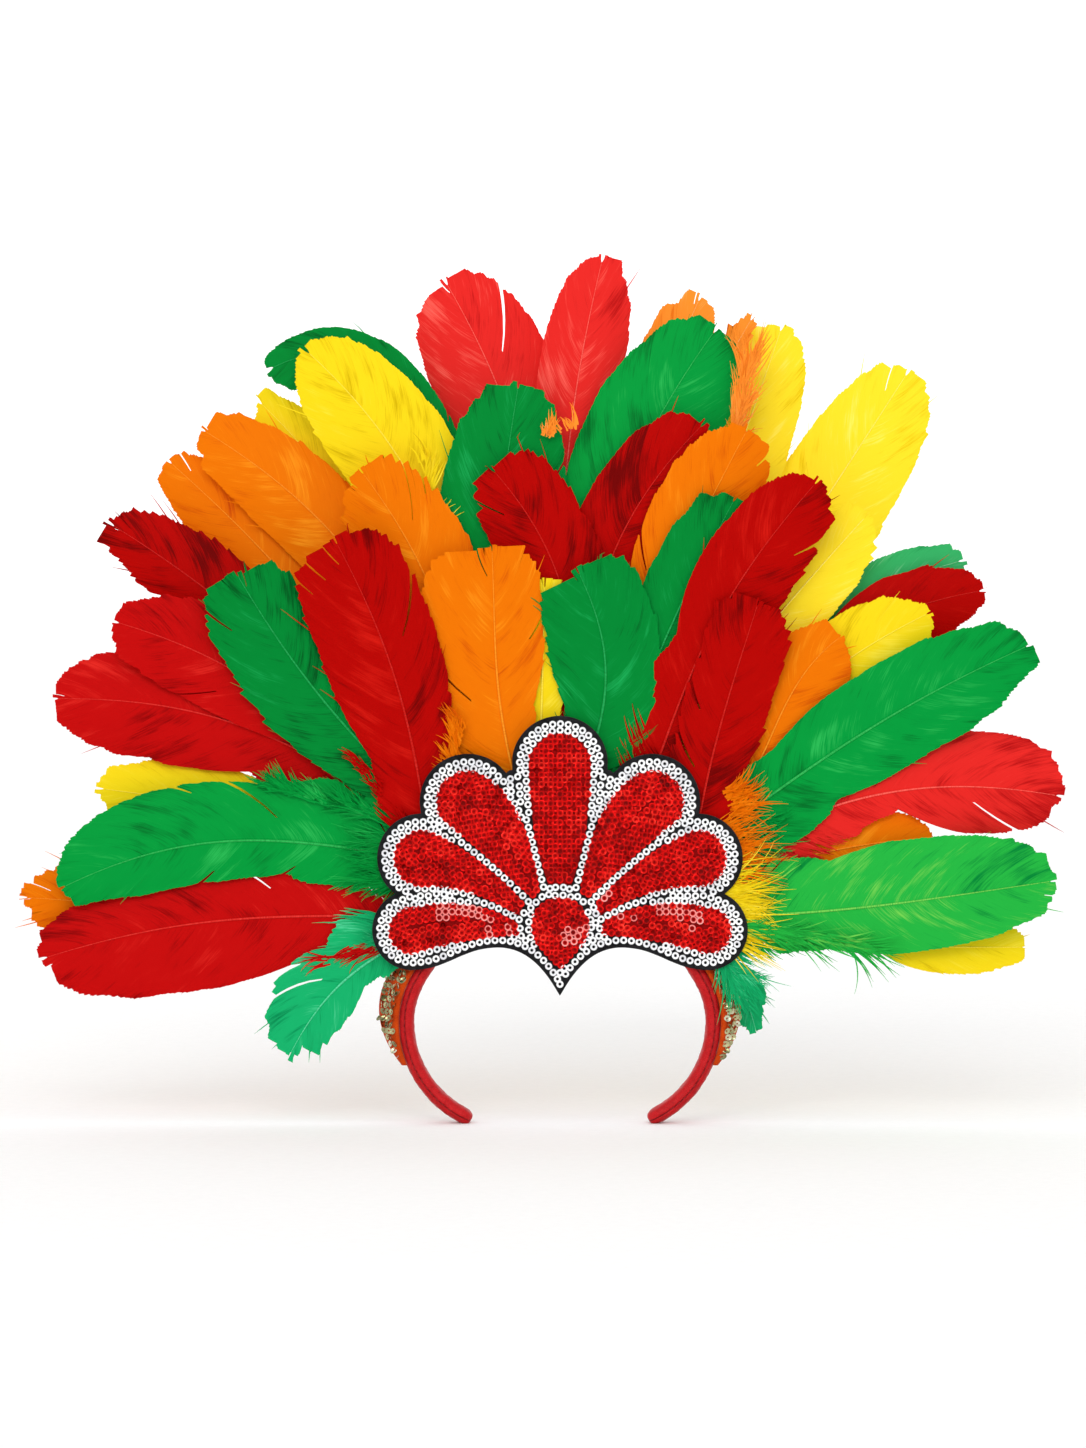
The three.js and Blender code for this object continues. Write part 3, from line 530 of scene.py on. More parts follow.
# How much fuller than its solid a vane is, left and right of the quill as the feather points up
SWELL_ELSEWHERE = (1.03, 1.03)
SWELL = {
    "top_right_yellow": (1.2, 1.2),
    "top_wisp_orange": (0.75, 0.55),
    "right_front_red": (0.93, 0.8),
    "left_front_red": (0.94, 1.03),
    "top_left_red": (1.06, 1.03),
    "top_far_yellow": (0.95, 1.12),
    "right_inner_orange": (1.1, 1.26),
    "right_short_orange": (1.18, 1.18),
    "right_tall_orange": (1.08, 1.08),
    "right_dark_red": (1.05, 1.05),
    "right_coral_red": (1.2, 1),
    "right_long_green": (1.12, 0.95),
    "right_low_green": (1.12, 1),
    "right_low_yellow": (1.03, 0.85),
    "left_upright_green": (1.22, 1.08),
    "left_long_yellow": (1.1, 1.25),
    "left_wide_red": (1.16, 1),
    "left_long_green": (1.3, 1),
    "left_long_red": (1, 1.12),
    "left_curled_green": (1.3, 0.85),
    "left_inner_orange": (1.08, 1.08),
    "left_back_yellow": (1.1, 1.1),
    "left_dark_red": (1, 1.15),
    "left_low_orange": (1.1, 1),
    "left_fluff_green": (0.85, 1.08),
}


QUILL_STEPS = 200            # places at which a quill's length is worked out
SKIRT_END, SKIRT_FADE, SKIRT_FULLNESS = 0.7, 0.4, 0.7
FARTHEST_OUT = 1.1           # how far out the camber still grows, as a share of half the vane


def layer_spread(reach):
    """How much further apart than at the block the layers are, at a distance from the hub."""
    past = np.maximum(reach - FAN_START, 0)
    return FAN_SPREAD * past * past / (FAN_REACH - FAN_START)


def layer_front(layer, reach):
    """The depth of a layer's front at a distance from the hub."""
    return BLOCK_FRONT + layer * LAYER_PITCH + (layer - FAN_LEAN) * layer_spread(reach)


class Feather:
    """One feather's quill, vane outline and depth, worked out as the part does."""

    def __init__(self, row):
        (self.name, self.dye, self.kind, self.layer, seat, aim, reach, leave, arrive, width, self.left) = row
        self.start, self.belly, self.blunt = KINDS[self.kind]
        self.tear = TEAR[WORN.get(self.name, self.kind)]
        self.width = width * VANE_WIDTH
        foot = polar(HUB, seat, BLOCK_RADIUS + GAP + QUILL_DIAMETER / 4)
        tip = polar(HUB, aim, reach * FAN_REACH)
        straight = math.degrees(math.atan2(tip[0] - foot[0], tip[1] - foot[1]))
        handle = np.linalg.norm(tip - foot) * HANDLE_SHARE
        self.control = (foot, polar(foot, straight + leave, handle),
                        polar(tip, straight + arrive, -handle), tip)
        self.steps = np.linspace(0, 1, QUILL_STEPS)
        self.lengths = run_along(bezier(self.control, self.steps)[0])
        self.length = self.lengths[-1]

    def share_at(self, length):
        return np.interp(length, self.lengths, self.steps)

    def vane_width(self, share):
        share = np.clip(share, 0, 1)
        rise = np.sin(np.pi / 2 * np.clip((share - self.start) / (self.belly - self.start), 0, 1))
        growing = QUILL_DIAMETER + (self.width - QUILL_DIAMETER) * rise ** VANE_FULLNESS
        fall = np.clip((share - self.belly) / (1 - self.belly), 0, 1)
        closing = self.width * (1 - fall ** self.blunt) ** (1 / self.blunt)
        return np.where(share <= self.belly, growing, closing)

    def part_of(self, side):
        """The share of the vane that lies on one side of the quill."""
        return self.left if side < 0 else 1 - self.left

    def dressed_width(self, share, side):
        """The vane with its downy skirt, which the crest and the other feathers partly hide."""
        half = 0 if side < 0 else 1
        swell = SWELL.get(self.name, SWELL_ELSEWHERE)[half]
        skirts = SKIRTS.get(self.name, (self.tear["skirt"],) * 2)
        full = self.width * self.part_of(side)
        skirt = full * skirts[half] * np.clip((SKIRT_END - share) / SKIRT_FADE, 0, 1) ** SKIRT_FULLNESS
        return swell * np.maximum(self.vane_width(share) * self.part_of(side), skirt)

    def place(self, share, across, side, lift=0):
        """A point of the vane, across millimetres to one side of the quill."""
        at, along = bezier(self.control, share)
        right = np.stack([along[..., 1], -along[..., 0]], axis=-1)
        flat = at + right * (side * across)[..., None]
        reach = np.linalg.norm(flat - HUB, axis=-1)
        spread = layer_spread(reach)
        step = self.layer + 0.5
        middle = BLOCK_FRONT + step * LAYER_PITCH + (step - FAN_LEAN) * spread
        quill = QUILL_DIAMETER * (1 - (1 - QUILL_TIP_SHARE) * share)
        room = np.maximum(LAYER_PITCH + spread - GAP - quill, 0)
        out = np.clip(across / (self.width * self.part_of(side)), 0, FARTHEST_OUT)
        fall = np.minimum(room, CAMBER_ROOM) * CAMBER_SHARE * out * out * min(1, self.width / VANE_WIDTH)
        depth = middle - room / 2 + fall + lift * LIFT_SHARE
        return np.stack([flat[..., 0], depth, flat[..., 1]], axis=-1)


HALVINGS = 24


def barb_ends(feather, roots, side):
    """For barbs that leave the quill at these shares, the share at which each meets the vane's edge."""
    slope = np.tan(np.radians(np.interp(roots, *BARB_ANGLES)))
    low, high = roots.copy(), np.ones_like(roots)
    for _ in range(HALVINGS):
        middle = (low + high) / 2
        short = (middle - roots) * feather.length * slope < feather.dressed_width(middle, side)
        low, high = np.where(short, middle, low), np.where(short, high, middle)
    return (low + high) / 2


def clump_numbers(rng, count, smallest, largest):
    """Which clump each barb is in."""
    numbers, clump = [], 0
    while len(numbers) < count:
        numbers += [clump] * int(rng.integers(smallest, largest))
        clump += 1
    return np.array(numbers[:count])


def ribbons(parts, centres, half, offset, seed_u, pitch, columns, column, tone=0):
    """Strips along rows of centres. Each has its own stretch of both UV maps."""
    count, stations = centres.shape[:2]
    along = np.gradient(centres, axis=1)
    side = np.stack([along[..., 2], np.zeros_like(half), -along[..., 0]], axis=-1)
    side /= np.maximum(np.linalg.norm(side, axis=-1, keepdims=True), 1e-9)
    side[..., 1] = np.tan(offset)
    points = np.stack([centres - side * half[..., None], centres + side * half[..., None]], axis=2)
    faces = np.concatenate([grid_faces(stations, 2) + k * stations * 2 for k in range(count)])
    across = np.arange(count)[:, None, None] * pitch + np.array([0, pitch])[None, None, :] + seed_u
    uv = np.stack(np.broadcast_arrays(across, run_along(centres)[:, :, None]), axis=-1)
    cell = (column + np.arange(count)[:, None, None] + np.array([0.06, 0.94])[None, None, :]) / columns
    height = np.linspace(CELL_MARGIN, 1 - CELL_MARGIN, stations)[None, :, None]
    bake = np.stack(np.broadcast_arrays(cell, np.broadcast_to(height, (count, stations, 2))), axis=-1)
    parts.add(points, faces, uv, bake, 0, np.asarray(tone)[..., None])


# How torn a vane is, in millimetres but for the shares. clumps: fewest and most barbs in one; length:
# how far the middle of a clump stands out past its sides; teeth: how uneven the barbs' ends are;
# torn: share of clump borders that are split; split: how wide; loose: share of barbs that hang out;
# skirt: how wide the vane stays down to the foot, as a share of its full width; down: share of the
# quill that carries down
TEAR_COLUMNS = ("clumps", "length", "teeth", "torn", "split", "loose", "skirt", "down")
TEAR_ROWS = {
    "broad": ((8, 30), 1.8, 0.6, 0.06, 1.2, 0.006, 0.56, 0.1),
    "ragged": ((4, 13), 3, 0.8, 0.1, 1.6, 0.03, 0.6, 0.06),
    "back": ((8, 30), 2, 0.6, 0.06, 1.8, 0.006, 0.34, 0.1),
    "hidden": ((8, 30), 2, 0.6, 0.06, 1.8, 0.006, 0.14, 0.3),
    "fluffy": ((7, 20), 3, 0.8, 0.14, 3, 0.06, 0.6, 0.06),
}
TEAR = {kind: dict(zip(TEAR_COLUMNS, row)) for kind, row in TEAR_ROWS.items()}
# Feathers more torn than their kind
WORN = {
    "top_wisp_orange": "ragged",
    "left_tip_orange": "ragged",
    "left_dark_red": "ragged",
    "left_inner_orange": "ragged",
}
CLUMP_TILT, CLUMP_TILT_SPREAD, BARB_TILT_SPREAD = 0.07, 0.06, 0.05
CLUMP_SHIFT = 0.12           # how far a clump strays along the quill at its end
TEAR_REACH, NICK_REACH = 5, 1.4        # how far from a split the barbs part, and are shorter
SHORTEST_BARB = 0.5          # as a share of the barb's full length
PAST_TIP = 1.03              # how far past the quill's tip a barb may end, as a share of the quill
TONE_SPREAD, BARB_TONE_SPREAD = 0.028, 0.014
# Painted shade: darker towards one side of each clump at the barbs' ends, where clumps overlap, and darker
# towards the foot
CLUMP_PAINTED_SHADE, FOOT_PAINTED_SHADE, FOOT_PAINTED_SHADE_END = 0.035, 0.05, 0.35
# Loose barbs: shares of their length, and how wide they are there
LOOSE_AT = np.array([0.55, 0.7, 0.85, 1, 1.12])
LOOSE_WIDTH = np.array([0.5, 1, 0.9, 0.6, 0.15])
# Stretches of the barbs' UV map, so that no two halves or kinds of barb share their streaks
HALF_U, LOOSE_U, DOWN_U, STRAND_U = 450, 300, 700, 800

# Skirts that differ from their kind's: left and right of the quill
SKIRTS = {
    "left_long_red": (0.6, 1),
    "left_long_green": (1, 1.1),
    "left_long_yellow": (0.9, 1.7),
    "left_wide_red": (1.1, 0.4),
    "left_front_red": (0.7, 0.7),
    "left_upright_green": (0.6, 0.9),
    "left_coral_red": (0.6, 0.4),
    "centre_orange": (0.9, 0.7),
    "centre_green": (0.7, 1.1),
    "right_front_red": (1.1, 0.8),
    "right_tall_red": (0.9, 0.4),
    "right_inner_orange": (1.1, 1.3),
    "right_long_green": (0.7, 1),
    "top_right_green": (0.9, 0.6),
    "top_left_green": (0.6, 0.8),
    "top_centre_red": (0.3, 0.3),
    "centre_dark_red": (0.6, 0.7),
    "right_dark_red": (0.8, 0.5),
    "right_dark_green": (0.9, 0.9),
    "right_long_yellow": (0.8, 0.6),
    "right_back_yellow": (0.6, 0.8),
    "top_far_yellow": (0.8, 0.4),
    "left_fluff_green": (0.7, 1.05),
    "right_short_orange": (1.2, 1),
    "right_low_green": (0.9, 0.8),
    "right_coral_red": (0.8, 0.9),
}

# Painted light and shade: how much lighter or darker than the dye the left and right halves are, as they
# face towards or away from the light, as shares of the dye's range
PAINTED_HALF_SHADES = {
    "left_front_red": (0.05, -0.06),
    "top_left_red": (0.05, -0.03),
    "top_centre_red": (0.06, 0.04),
    "right_front_red": (-0.03, -0.06),
    "right_tall_red": (0.02, -0.04),
    "right_dark_red": (-0.05, -0.04),
    "centre_dark_red": (-0.05, -0.06),
    "left_upright_green": (-0.03, -0.06),
    "right_dark_green": (-0.04, -0.08),
    "left_dark_red": (-0.05, -0.04),
    "right_coral_red": (-0.05, -0.05),
    "left_long_red": (-0.02, -0.03),
}


def barb_curve(feather, roots, ends, reach, out, shift):
    """Where barbs run, at shares of their length: the share of the quill and the distance from it."""
    share = roots[:, None] + (ends - roots)[:, None] * out ** BARB_SWEEP + shift / feather.length
    return share, reach[:, None] * (1 - np.sign(1 - out) * np.abs(1 - out) ** BARB_BEND)


def barb_sheet(parts, centres, open_from, seed_u, columns, column, tone):
    """Barbs joined side by side. From station open_from on, a barb isn't joined to the next one."""
    count, stations = centres.shape[:2]
    faces = grid_faces(count, stations)
    barb, station = np.divmod(np.arange(len(faces)), stations - 1)
    faces = faces[station < open_from[barb]]
    across = np.arange(count)[:, None] * BARB_PITCH + seed_u
    uv = np.stack(np.broadcast_arrays(across, run_along(centres)), axis=-1)
    cell = (column + np.arange(count)[:, None]) / columns
    height = np.linspace(CELL_MARGIN, 1 - CELL_MARGIN, stations)[None, :]
    bake = np.stack(np.broadcast_arrays(cell, height), axis=-1)
    parts.add(centres, faces, uv, bake, 0, tone)


def add_vane(parts, feather, rng, side, seed_u, columns, column):
    """The joined barbs of one half of a feather, and a few loose ones."""
    tear = feather.tear
    s = BARB_STATIONS
    count = int(feather.length * (LAST_BARB - tear["down"]) / BARB_PITCH)
    roots = feather.share_at(feather.length * np.linspace(tear["down"], LAST_BARB, count))
    ends = barb_ends(feather, roots, side)
    reach = feather.dressed_width(ends, side)
    clump = clump_numbers(rng, count, *tear["clumps"])
    clumps = clump[-1] + 1
    first = np.array([np.flatnonzero(clump == k)[0] for k in range(clumps)])
    within = (np.arange(count) - first[clump] + 0.5) / np.bincount(clump)[clump] - 0.5

    # Clumps end in points and lie a little askew, and torn borders open from some way out
    point = 1 - np.abs(2 * within) ** 1.2
    stray = rng.normal(0.3, 0.6, clumps)[clump] + 0.4 * np.clip((ends - 0.7) / 0.3, 0, 1)
    longer = tear["length"] * (point * stray - 0.5) + rng.uniform(-1, 1, count) * tear["teeth"]
    shift = rng.normal(0, CLUMP_SHIFT, clumps)[clump][:, None] * s ** 2
    open_from = np.full(count, len(s))
    for border in first[1:]:
        if rng.random() < tear["torn"]:
            start = int(rng.integers(3, len(s) - 2))
            open_from[border - 1] = start
            off = np.arange(count) - border + 0.5
            away = np.abs(off) * BARB_PITCH
            parted = tear["split"] / 2 * np.sign(off) * np.exp(-away / TEAR_REACH) * rng.uniform(0.5, 1.5)
            longer -= tear["split"] * rng.uniform(0.2, 1.2) * np.exp(-away / NICK_REACH)
            shift = shift + parted[:, None] * np.clip((s - s[start]) / (1 - s[start]), 0, 1) ** 1.4
    grown = np.maximum(1 + longer / np.hypot((ends - roots) * feather.length, reach), SHORTEST_BARB)
    share, across = barb_curve(feather, roots, ends, reach, s * grown[:, None], shift)
    # No barb crosses the one next to it
    share = (np.maximum.accumulate(share) + np.minimum.accumulate(share[::-1])[::-1]) / 2
    ripple = np.sin(share * feather.length / RIPPLE_PITCH + rng.uniform(0, 6)) * s ** 2 * RIPPLE_DEPTH
    panel = within * 2 * rng.normal(CLUMP_TILT, CLUMP_TILT_SPREAD, clumps)[clump]
    panel += rng.normal(0, BARB_TILT_SPREAD, clumps)[clump]
    lift = ripple + panel[:, None] * s ** 1.5
    centres = feather.place(np.clip(share, 0, PAST_TIP), across, side, lift)

    # Painted light and shade on each half, then random tone by clump and by barb
    painted_half_shade = PAINTED_HALF_SHADES.get(feather.name, (0, 0))[0 if side < 0 else 1]
    tone = painted_half_shade + rng.normal(0, TONE_SPREAD, clumps)[clump] + rng.normal(0, BARB_TONE_SPREAD, count)
    # Painted shade at the ends of the clumps, where they overlap, and towards the foot
    tone = tone[:, None] - CLUMP_PAINTED_SHADE * (0.5 + within)[:, None] * s ** 2
    tone = tone - FOOT_PAINTED_SHADE * np.clip(FOOT_PAINTED_SHADE_END - share, 0, 1) / FOOT_PAINTED_SHADE_END
    side_u = seed_u + (0 if side < 0 else HALF_U)
    barb_sheet(parts, centres, open_from, side_u, columns, column, tone)

    # Barbs that hang out past the edge
    loose = rng.choice(count, max(1, round(count * tear["loose"])), replace=False)
    out = LOOSE_AT * rng.uniform(0.9, 1.15, len(loose))[:, None]
    hang = roots[loose, None] + (ends - roots)[loose, None] * out ** BARB_SWEEP
    hang += rng.normal(0, 1.6, len(loose))[:, None] * (LOOSE_AT - 0.5) ** 2 / feather.length
    lift = rng.normal(0, 1.2, len(loose))[:, None] * (LOOSE_AT - 0.4)
    centres = feather.place(np.clip(hang, 0, 1.02), (reach * grown)[loose, None] * out, side, lift)
    half = np.full(centres.shape[:2], BARB_WIDTH / 2) * LOOSE_WIDTH
    ribbons(parts, centres, half, 0 * half, side_u + LOOSE_U, BARB_PITCH, columns, column + count,
            tone[loose, -1:])
    return count + len(loose)


def add_skirt(parts, feather, rng, side, seed_u, columns, column):
    """Downy barbs on the lower quill, each free of the next."""
    s = BARB_STATIONS
    until = feather.tear["down"] + 0.03
    count = int(feather.length * until / DOWN_PITCH)
    roots = feather.share_at(feather.length * np.linspace(0, until, count))
    ends = barb_ends(feather, roots, side)
    reach = np.maximum(feather.dressed_width(ends, side) + rng.normal(0, 1.6, count), 1)
    shift = rng.normal(0, 1.4, count)[:, None] * s ** 2
    shift = shift + np.sin(s * 4 + rng.uniform(0, 6, count)[:, None]) * s * 1.1
    share, across = barb_curve(feather, roots, ends, reach, s, shift)
    centres = feather.place(np.clip(share, 0, 1), across, side, rng.normal(0, 0.6, count)[:, None] * s)
    half = DOWN_WIDTH / 2 * np.interp(s, [0, 0.7, 1], [1, 0.8, 0.15])[None, :] * np.ones((count, 1))
    tilt = SHINGLE_TILT * side * np.ones_like(half)
    tone = rng.normal(-0.03, 0.06, count)[:, None]
    ribbons(parts, centres, half, tilt, seed_u + DOWN_U + 60 * side, DOWN_PITCH, columns, column, tone)
    return count


QUILL_RINGS, QUILL_SIDES = 34, 7
QUILL_STAND = 0.35           # how far a quill stands out in front of the vane, as a share of its radius


def add_quill(parts, feather, seed_u, columns, column):
    """The quill, a thin tube that tapers to the tip and stands out in front of the vane."""
    shares = np.linspace(0, LAST_BARB, QUILL_RINGS)
    at = feather.place(shares, np.zeros_like(shares), 1)
    radius = QUILL_DIAMETER / 2 * np.interp(shares, [0, 0.5, 1], [1, 0.72, 0.2])
    along = np.gradient(at, axis=0)
    along /= np.linalg.norm(along, axis=1, keepdims=True)
    across = np.cross(along, [0, 1, 0])
    across /= np.linalg.norm(across, axis=1, keepdims=True)
    out = np.cross(across, along)
    turns = np.linspace(0, 2 * np.pi, QUILL_SIDES, endpoint=False)
    ring = across[:, None] * np.cos(turns)[None, :, None] + out[:, None] * np.sin(turns)[None, :, None]
    points = at[:, None] + ring * radius[:, None, None]
    points[..., 1] -= radius[:, None] * QUILL_STAND
    along_uv = shares[:, None] * feather.length
    uv = np.stack(np.broadcast_arrays(seed_u + turns[None, :] * 0.5, along_uv), axis=-1)
    bake = np.stack(np.broadcast_arrays((column + turns[None, :] / 2) / columns, shares[:, None]), axis=-1)
    parts.add(points, grid_faces(len(shares), QUILL_SIDES, wrap=True), uv, bake, 1)


# Tufts of down that lie over other feathers: both ends of the line they grow from, the range of
# directions, the range of lengths, how many strands, and the layer whose front they lie on
TUFTS = {
    "right_low_yellow": [((62, 12), (66, -14), (66, 118), (16, 34), 300, -0.6)],
    "right_short_orange": [((60, 30), (66, 8), (48, 104), (14, 34), 240, -0.5)],
    "right_inner_orange": [((70, 48), (74, 36), (50, 96), (8, 20), 110, 0.2)],
    "right_low_green": [((72, -8), (128, -17), (94, 122), (10, 24), 220, -0.8)],
    "right_long_green": [((74, 34), (86, 36), (84, 120), (8, 18), 70, 0.8)],
    "left_long_green": [
        ((-74, 36), (-122, 50), (-84, -30), (8, 18), 220, 1.6),
        ((-66, 30), (-66, 8), (-106, -64), (12, 30), 200, 1.2),
    ],
    "left_long_red": [((-66, -16), (-100, -24), (-116, -92), (6, 14), 70, 2.4)],
    "centre_orange": [((-44, 52), (-42, 80), (-48, -8), (6, 14), 150, -0.3)],
    "left_tall_yellow": [((-54, 148), (-56, 190), (-14, 26), (8, 18), 110, 4)],
    "top_back_orange": [((-7, 197), (7, 200), (-60, 30), (3, 10), 60, 3.6)],
    "left_fluff_green": [((-66, -12), (-80, -20), (-108, -76), (8, 18), 60, 1.4)],
    "top_wisp_orange": [((72, 192), (80, 232), (4, 58), (10, 26), 170, 4.6)],
    "right_fluff_green": [((66, -16), (72, -30), (104, 172), (10, 26), 260, 0)],
    "left_front_red": [((-64, 34), (-84, 60), (-60, -24), (4, 10), 60, -0.2)],
}
TUFT_STATIONS = 9
LOCK_SIZES = (4, 12)         # fewest and most strands in a lock


def add_tuft(parts, rng, tuft, seed_u, columns, column):
    """Fine strands of down in small locks that part towards their ends."""
    start, end, directions, lengths, count, layer = tuft
    stations = TUFT_STATIONS
    lock = clump_numbers(rng, count, *LOCK_SIZES)
    locks = lock[-1] + 1
    root = np.array(start) + (np.array(end) - start) * rng.random(locks)[lock][:, None]
    root = root + rng.normal(0, 1.1, (count, 2))
    angle = rng.uniform(*directions, locks)[lock] + rng.normal(0, 7, count)
    length = rng.uniform(*lengths, locks)[lock] * rng.uniform(0.7, 1.1, count)
    curl = rng.normal(0, 24, locks)[lock] + rng.normal(0, 12, count)
    places = [root]
    for k in range(1, stations):
        places.append(places[-1] + heading(angle + curl * k / stations) * (length / (stations - 1))[:, None])
    flat = np.stack(places, axis=1)
    front = layer_front(layer, np.linalg.norm(flat - HUB, axis=-1))
    depth = front - rng.uniform(0, 0.9, count)[:, None] * np.linspace(0.2, 1, stations)
    centres = np.stack([flat[..., 0], depth, flat[..., 1]], axis=-1)
    taper = np.interp(np.arange(stations), [0, 5, 8], [1.3, 0.8, 0.15])
    half = np.full((count, stations), STRAND_WIDTH / 2) * taper
    tilt = rng.normal(0, 0.4, count)[:, None] * np.ones((1, stations))
    tone = rng.normal(0.01, 0.05, locks)[lock][:, None]
    ribbons(parts, centres, half, tilt, seed_u + STRAND_U, STRAND_WIDTH / 2, columns, column, tone)
    return count


# Dyes whose names don't end in their hue
HUES = {"crimson": "red", "coral": "red"}


def add_feathers():
    made = {dye: (feather_material(dye), quill_material(dye)) for dye in DYES}
    for number, row in enumerate(FEATHERS):
        feather = Feather(row)
        rng = np.random.default_rng(100 + number)
        parts = Parts()
        tufts = TUFTS.get(feather.name, [])
        columns = 5 * int(feather.length / BARB_PITCH) + sum(tuft[4] for tuft in tufts) + 12
        seed_u = 1000 * number
        column = 0
        for side in (-1, 1):
            column += add_vane(parts, feather, rng, side, seed_u, columns, column) + 1
            column += add_skirt(parts, feather, rng, side, seed_u, columns, column) + 1
        for tuft in tufts:
            column += add_tuft(parts, rng, tuft, seed_u, columns, column) + 1
        add_quill(parts, feather, seed_u, columns, column + 1)
        piece = parts.make(f"{feather.name}_feather", made[feather.dye])
        hue = HUES.get(feather.dye, feather.dye.split("_")[-1])
        hand_over(piece, f"{hue}_feather", f"feather_{feather.name}")


# Crest

def front_loops(node):
    """The outlines of a plate's front face, longest first, as closed loops of points."""
    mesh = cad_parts[node].data
    points = np.array([vertex.co for vertex in mesh.vertices]) / MM
    front = points[:, 1].min()
    keys = {}
    index = np.array([keys.setdefault(tuple(np.round(point, 3)), len(keys)) for point in points])
    corners = np.array(list(keys))
    mesh.calc_loop_triangles()
    edges = set()
    for triangle in mesh.loop_triangles:
        if max(points[v][1] for v in triangle.vertices) - front > 0.01:
            continue
        a, b, c = (int(index[v]) for v in triangle.vertices)
        for edge in ((a, b), (b, c), (c, a)):
            if edge[::-1] in edges:
                edges.remove(edge[::-1])
            else:
                edges.add(edge)
    following = dict(edges)
    loops = []
    while following:
        start = at = next(iter(following))
        loop = []
        while at in following:
            loop.append(corners[at][[0, 2]])
            at = following.pop(at)
        loops.append(np.array(loop))
    return sorted(loops, key=loop_length, reverse=True)


def loop_length(loop):
    return np.linalg.norm(np.roll(loop, -1, axis=0) - loop, axis=1).sum()


def smoothed(loop, pieces=6, corner=38):
    """A rounder loop through the same points, which keeps the corners sharper than corner degrees."""
    before, after = loop - np.roll(loop, 1, axis=0), np.roll(loop, -1, axis=0) - loop
    turn = np.abs(np.degrees(np.arctan2(before[:, 0] * after[:, 1] - before[:, 1] * after[:, 0],
                                        (before * after).sum(axis=1))))
    sharp = turn > corner
    result = []
    count = len(loop)
    for i in range(count):
        j = (i + 1) % count
        step = loop[j] - loop[i]
        leave = step if sharp[i] else (loop[j] - loop[i - 1]) / 2
        arrive = step if sharp[j] else (loop[(j + 1) % count] - loop[i]) / 2
        size = np.linalg.norm(step)
        leave = leave / max(np.linalg.norm(leave), 1e-9) * size
        arrive = arrive / max(np.linalg.norm(arrive), 1e-9) * size
        for t in np.arange(pieces) / pieces:
            result.append((2 * t ** 3 - 3 * t ** 2 + 1) * loop[i] + (t ** 3 - 2 * t ** 2 + t) * leave
                          + (3 * t ** 2 - 2 * t ** 3) * loop[j] + (t ** 3 - t ** 2) * arrive)
    return np.array(result)


def resampled(loop, pitch):
    """Points along a closed loop, evenly apart and as near to pitch as the loop allows."""
    closed = np.concatenate([loop, loop[:1]])
    run = run_along(closed)
    count = max(3, round(run[-1] / pitch))
    return points_at(closed, run, np.linspace(0, run[-1], count, endpoint=False))


def distance_to(loop, points):
    """The distance from each point to a closed loop."""
    start, step = loop, np.roll(loop, -1, axis=0) - loop
    offset = points[:, None] - start[None]
    share = np.clip((offset * step).sum(-1) / np.maximum((step * step).sum(-1), 1e-12), 0, 1)
    return np.linalg.norm(offset - share[..., None] * step[None], axis=-1).min(axis=1)


def inside(loop, points):
    """Whether each point lies inside a closed loop."""
    start, end = loop, np.roll(loop, -1, axis=0)
    x, z = points[:, 0:1], points[:, 1:2]
    crosses = (start[:, 1] > z) != (end[:, 1] > z)
    slope = (end[:, 0] - start[:, 0]) / np.where(end[:, 1] == start[:, 1], 1e-12, end[:, 1] - start[:, 1])
    left = x < start[:, 0] + (z - start[:, 1]) * slope
    return (crosses & left).sum(axis=1) % 2 == 1


def edge_walk(loop, pitch, outwards):
    """Points along a closed loop and the way out of it, or into it, at each of them."""
    fine = resampled(loop, pitch)
    along = np.roll(fine, -1, axis=0) - np.roll(fine, 1, axis=0)
    along /= np.maximum(np.linalg.norm(along, axis=1, keepdims=True), 1e-9)
    normal = np.stack([along[:, 1], -along[:, 0]], axis=1)
    points_in = inside(loop, fine + normal * 0.05).mean() > 0.5
    return fine, -normal if points_in == outwards else normal


def offset_row(loop, distance, pitch, outwards=False):
    """Places along a row that runs inside a loop, or outside it, at a distance."""
    fine, normal = edge_walk(loop, 0.25, outwards)
    row = fine + normal * distance
    row = row[distance_to(fine, row) > distance - 0.04]
    if len(row) < 2:
        return row
    run = run_along(row)
    count = max(1, int(run[-1] / pitch))
    return points_at(row, run, np.linspace(0, run[-1], count, endpoint=False))


def medial_row(loop, others, pitch, widest):
    """Places midway between a loop and the nearest of the others, where the gap is narrow enough."""
    fine, normal = edge_walk(loop, 0.4, True)
    reach = np.full(len(fine), np.inf)
    for step in np.arange(widest / 2, 0.7, -0.1):
        near = np.min([distance_to(other, fine + normal * step) for other in others], axis=0) <= step
        reach[near] = step
    found = np.isfinite(reach)
    row = fine[found] + normal[found] * reach[found, None]
    if len(row) < 2:
        return np.zeros((0, 2))
    jump = np.linalg.norm(np.diff(row, axis=0), axis=1) > 2
    spaced = []
    for piece in np.split(row, np.flatnonzero(jump) + 1):
        run = run_along(piece)
        at = np.linspace(0, run[-1], max(1, round(run[-1] / pitch)) + 1)
        spaced.append(points_at(piece, run, at))
    return np.concatenate(spaced)


def place_rows(rows, fits, apart, placed=()):
    """Keeps the places of rows that fit and lie apart from those already placed."""
    placed = list(placed)
    for row in rows:
        if not len(row):
            continue
        for point in row[fits(row)]:
            if not placed or np.linalg.norm(np.array(placed) - point, axis=1).min() > apart:
                placed.append(point)
    return placed


SEQUIN_RADIUS, SEQUIN_SIDES, SEQUIN_PITCH = 1.6, 10, 3.25
SEQUIN_SIZE, TRIM_SEQUIN_SIZE = 0.97, 0.86
WHITE_HOLE, RED_HOLE = 0.66, 0.42
SEQUIN_STAND = 0.35          # how far the sequins' middles stand off their ground
TWO_ROWS = 4.5               # a border at least this wide has two rows
CELL_WIDTH = 2.3             # of a sequin's cell in the bake map, in sequin radii
INNER_RING = 0.86            # how far rings are drawn in there, so that none lies on the next
COLOUR_SPREAD = 40


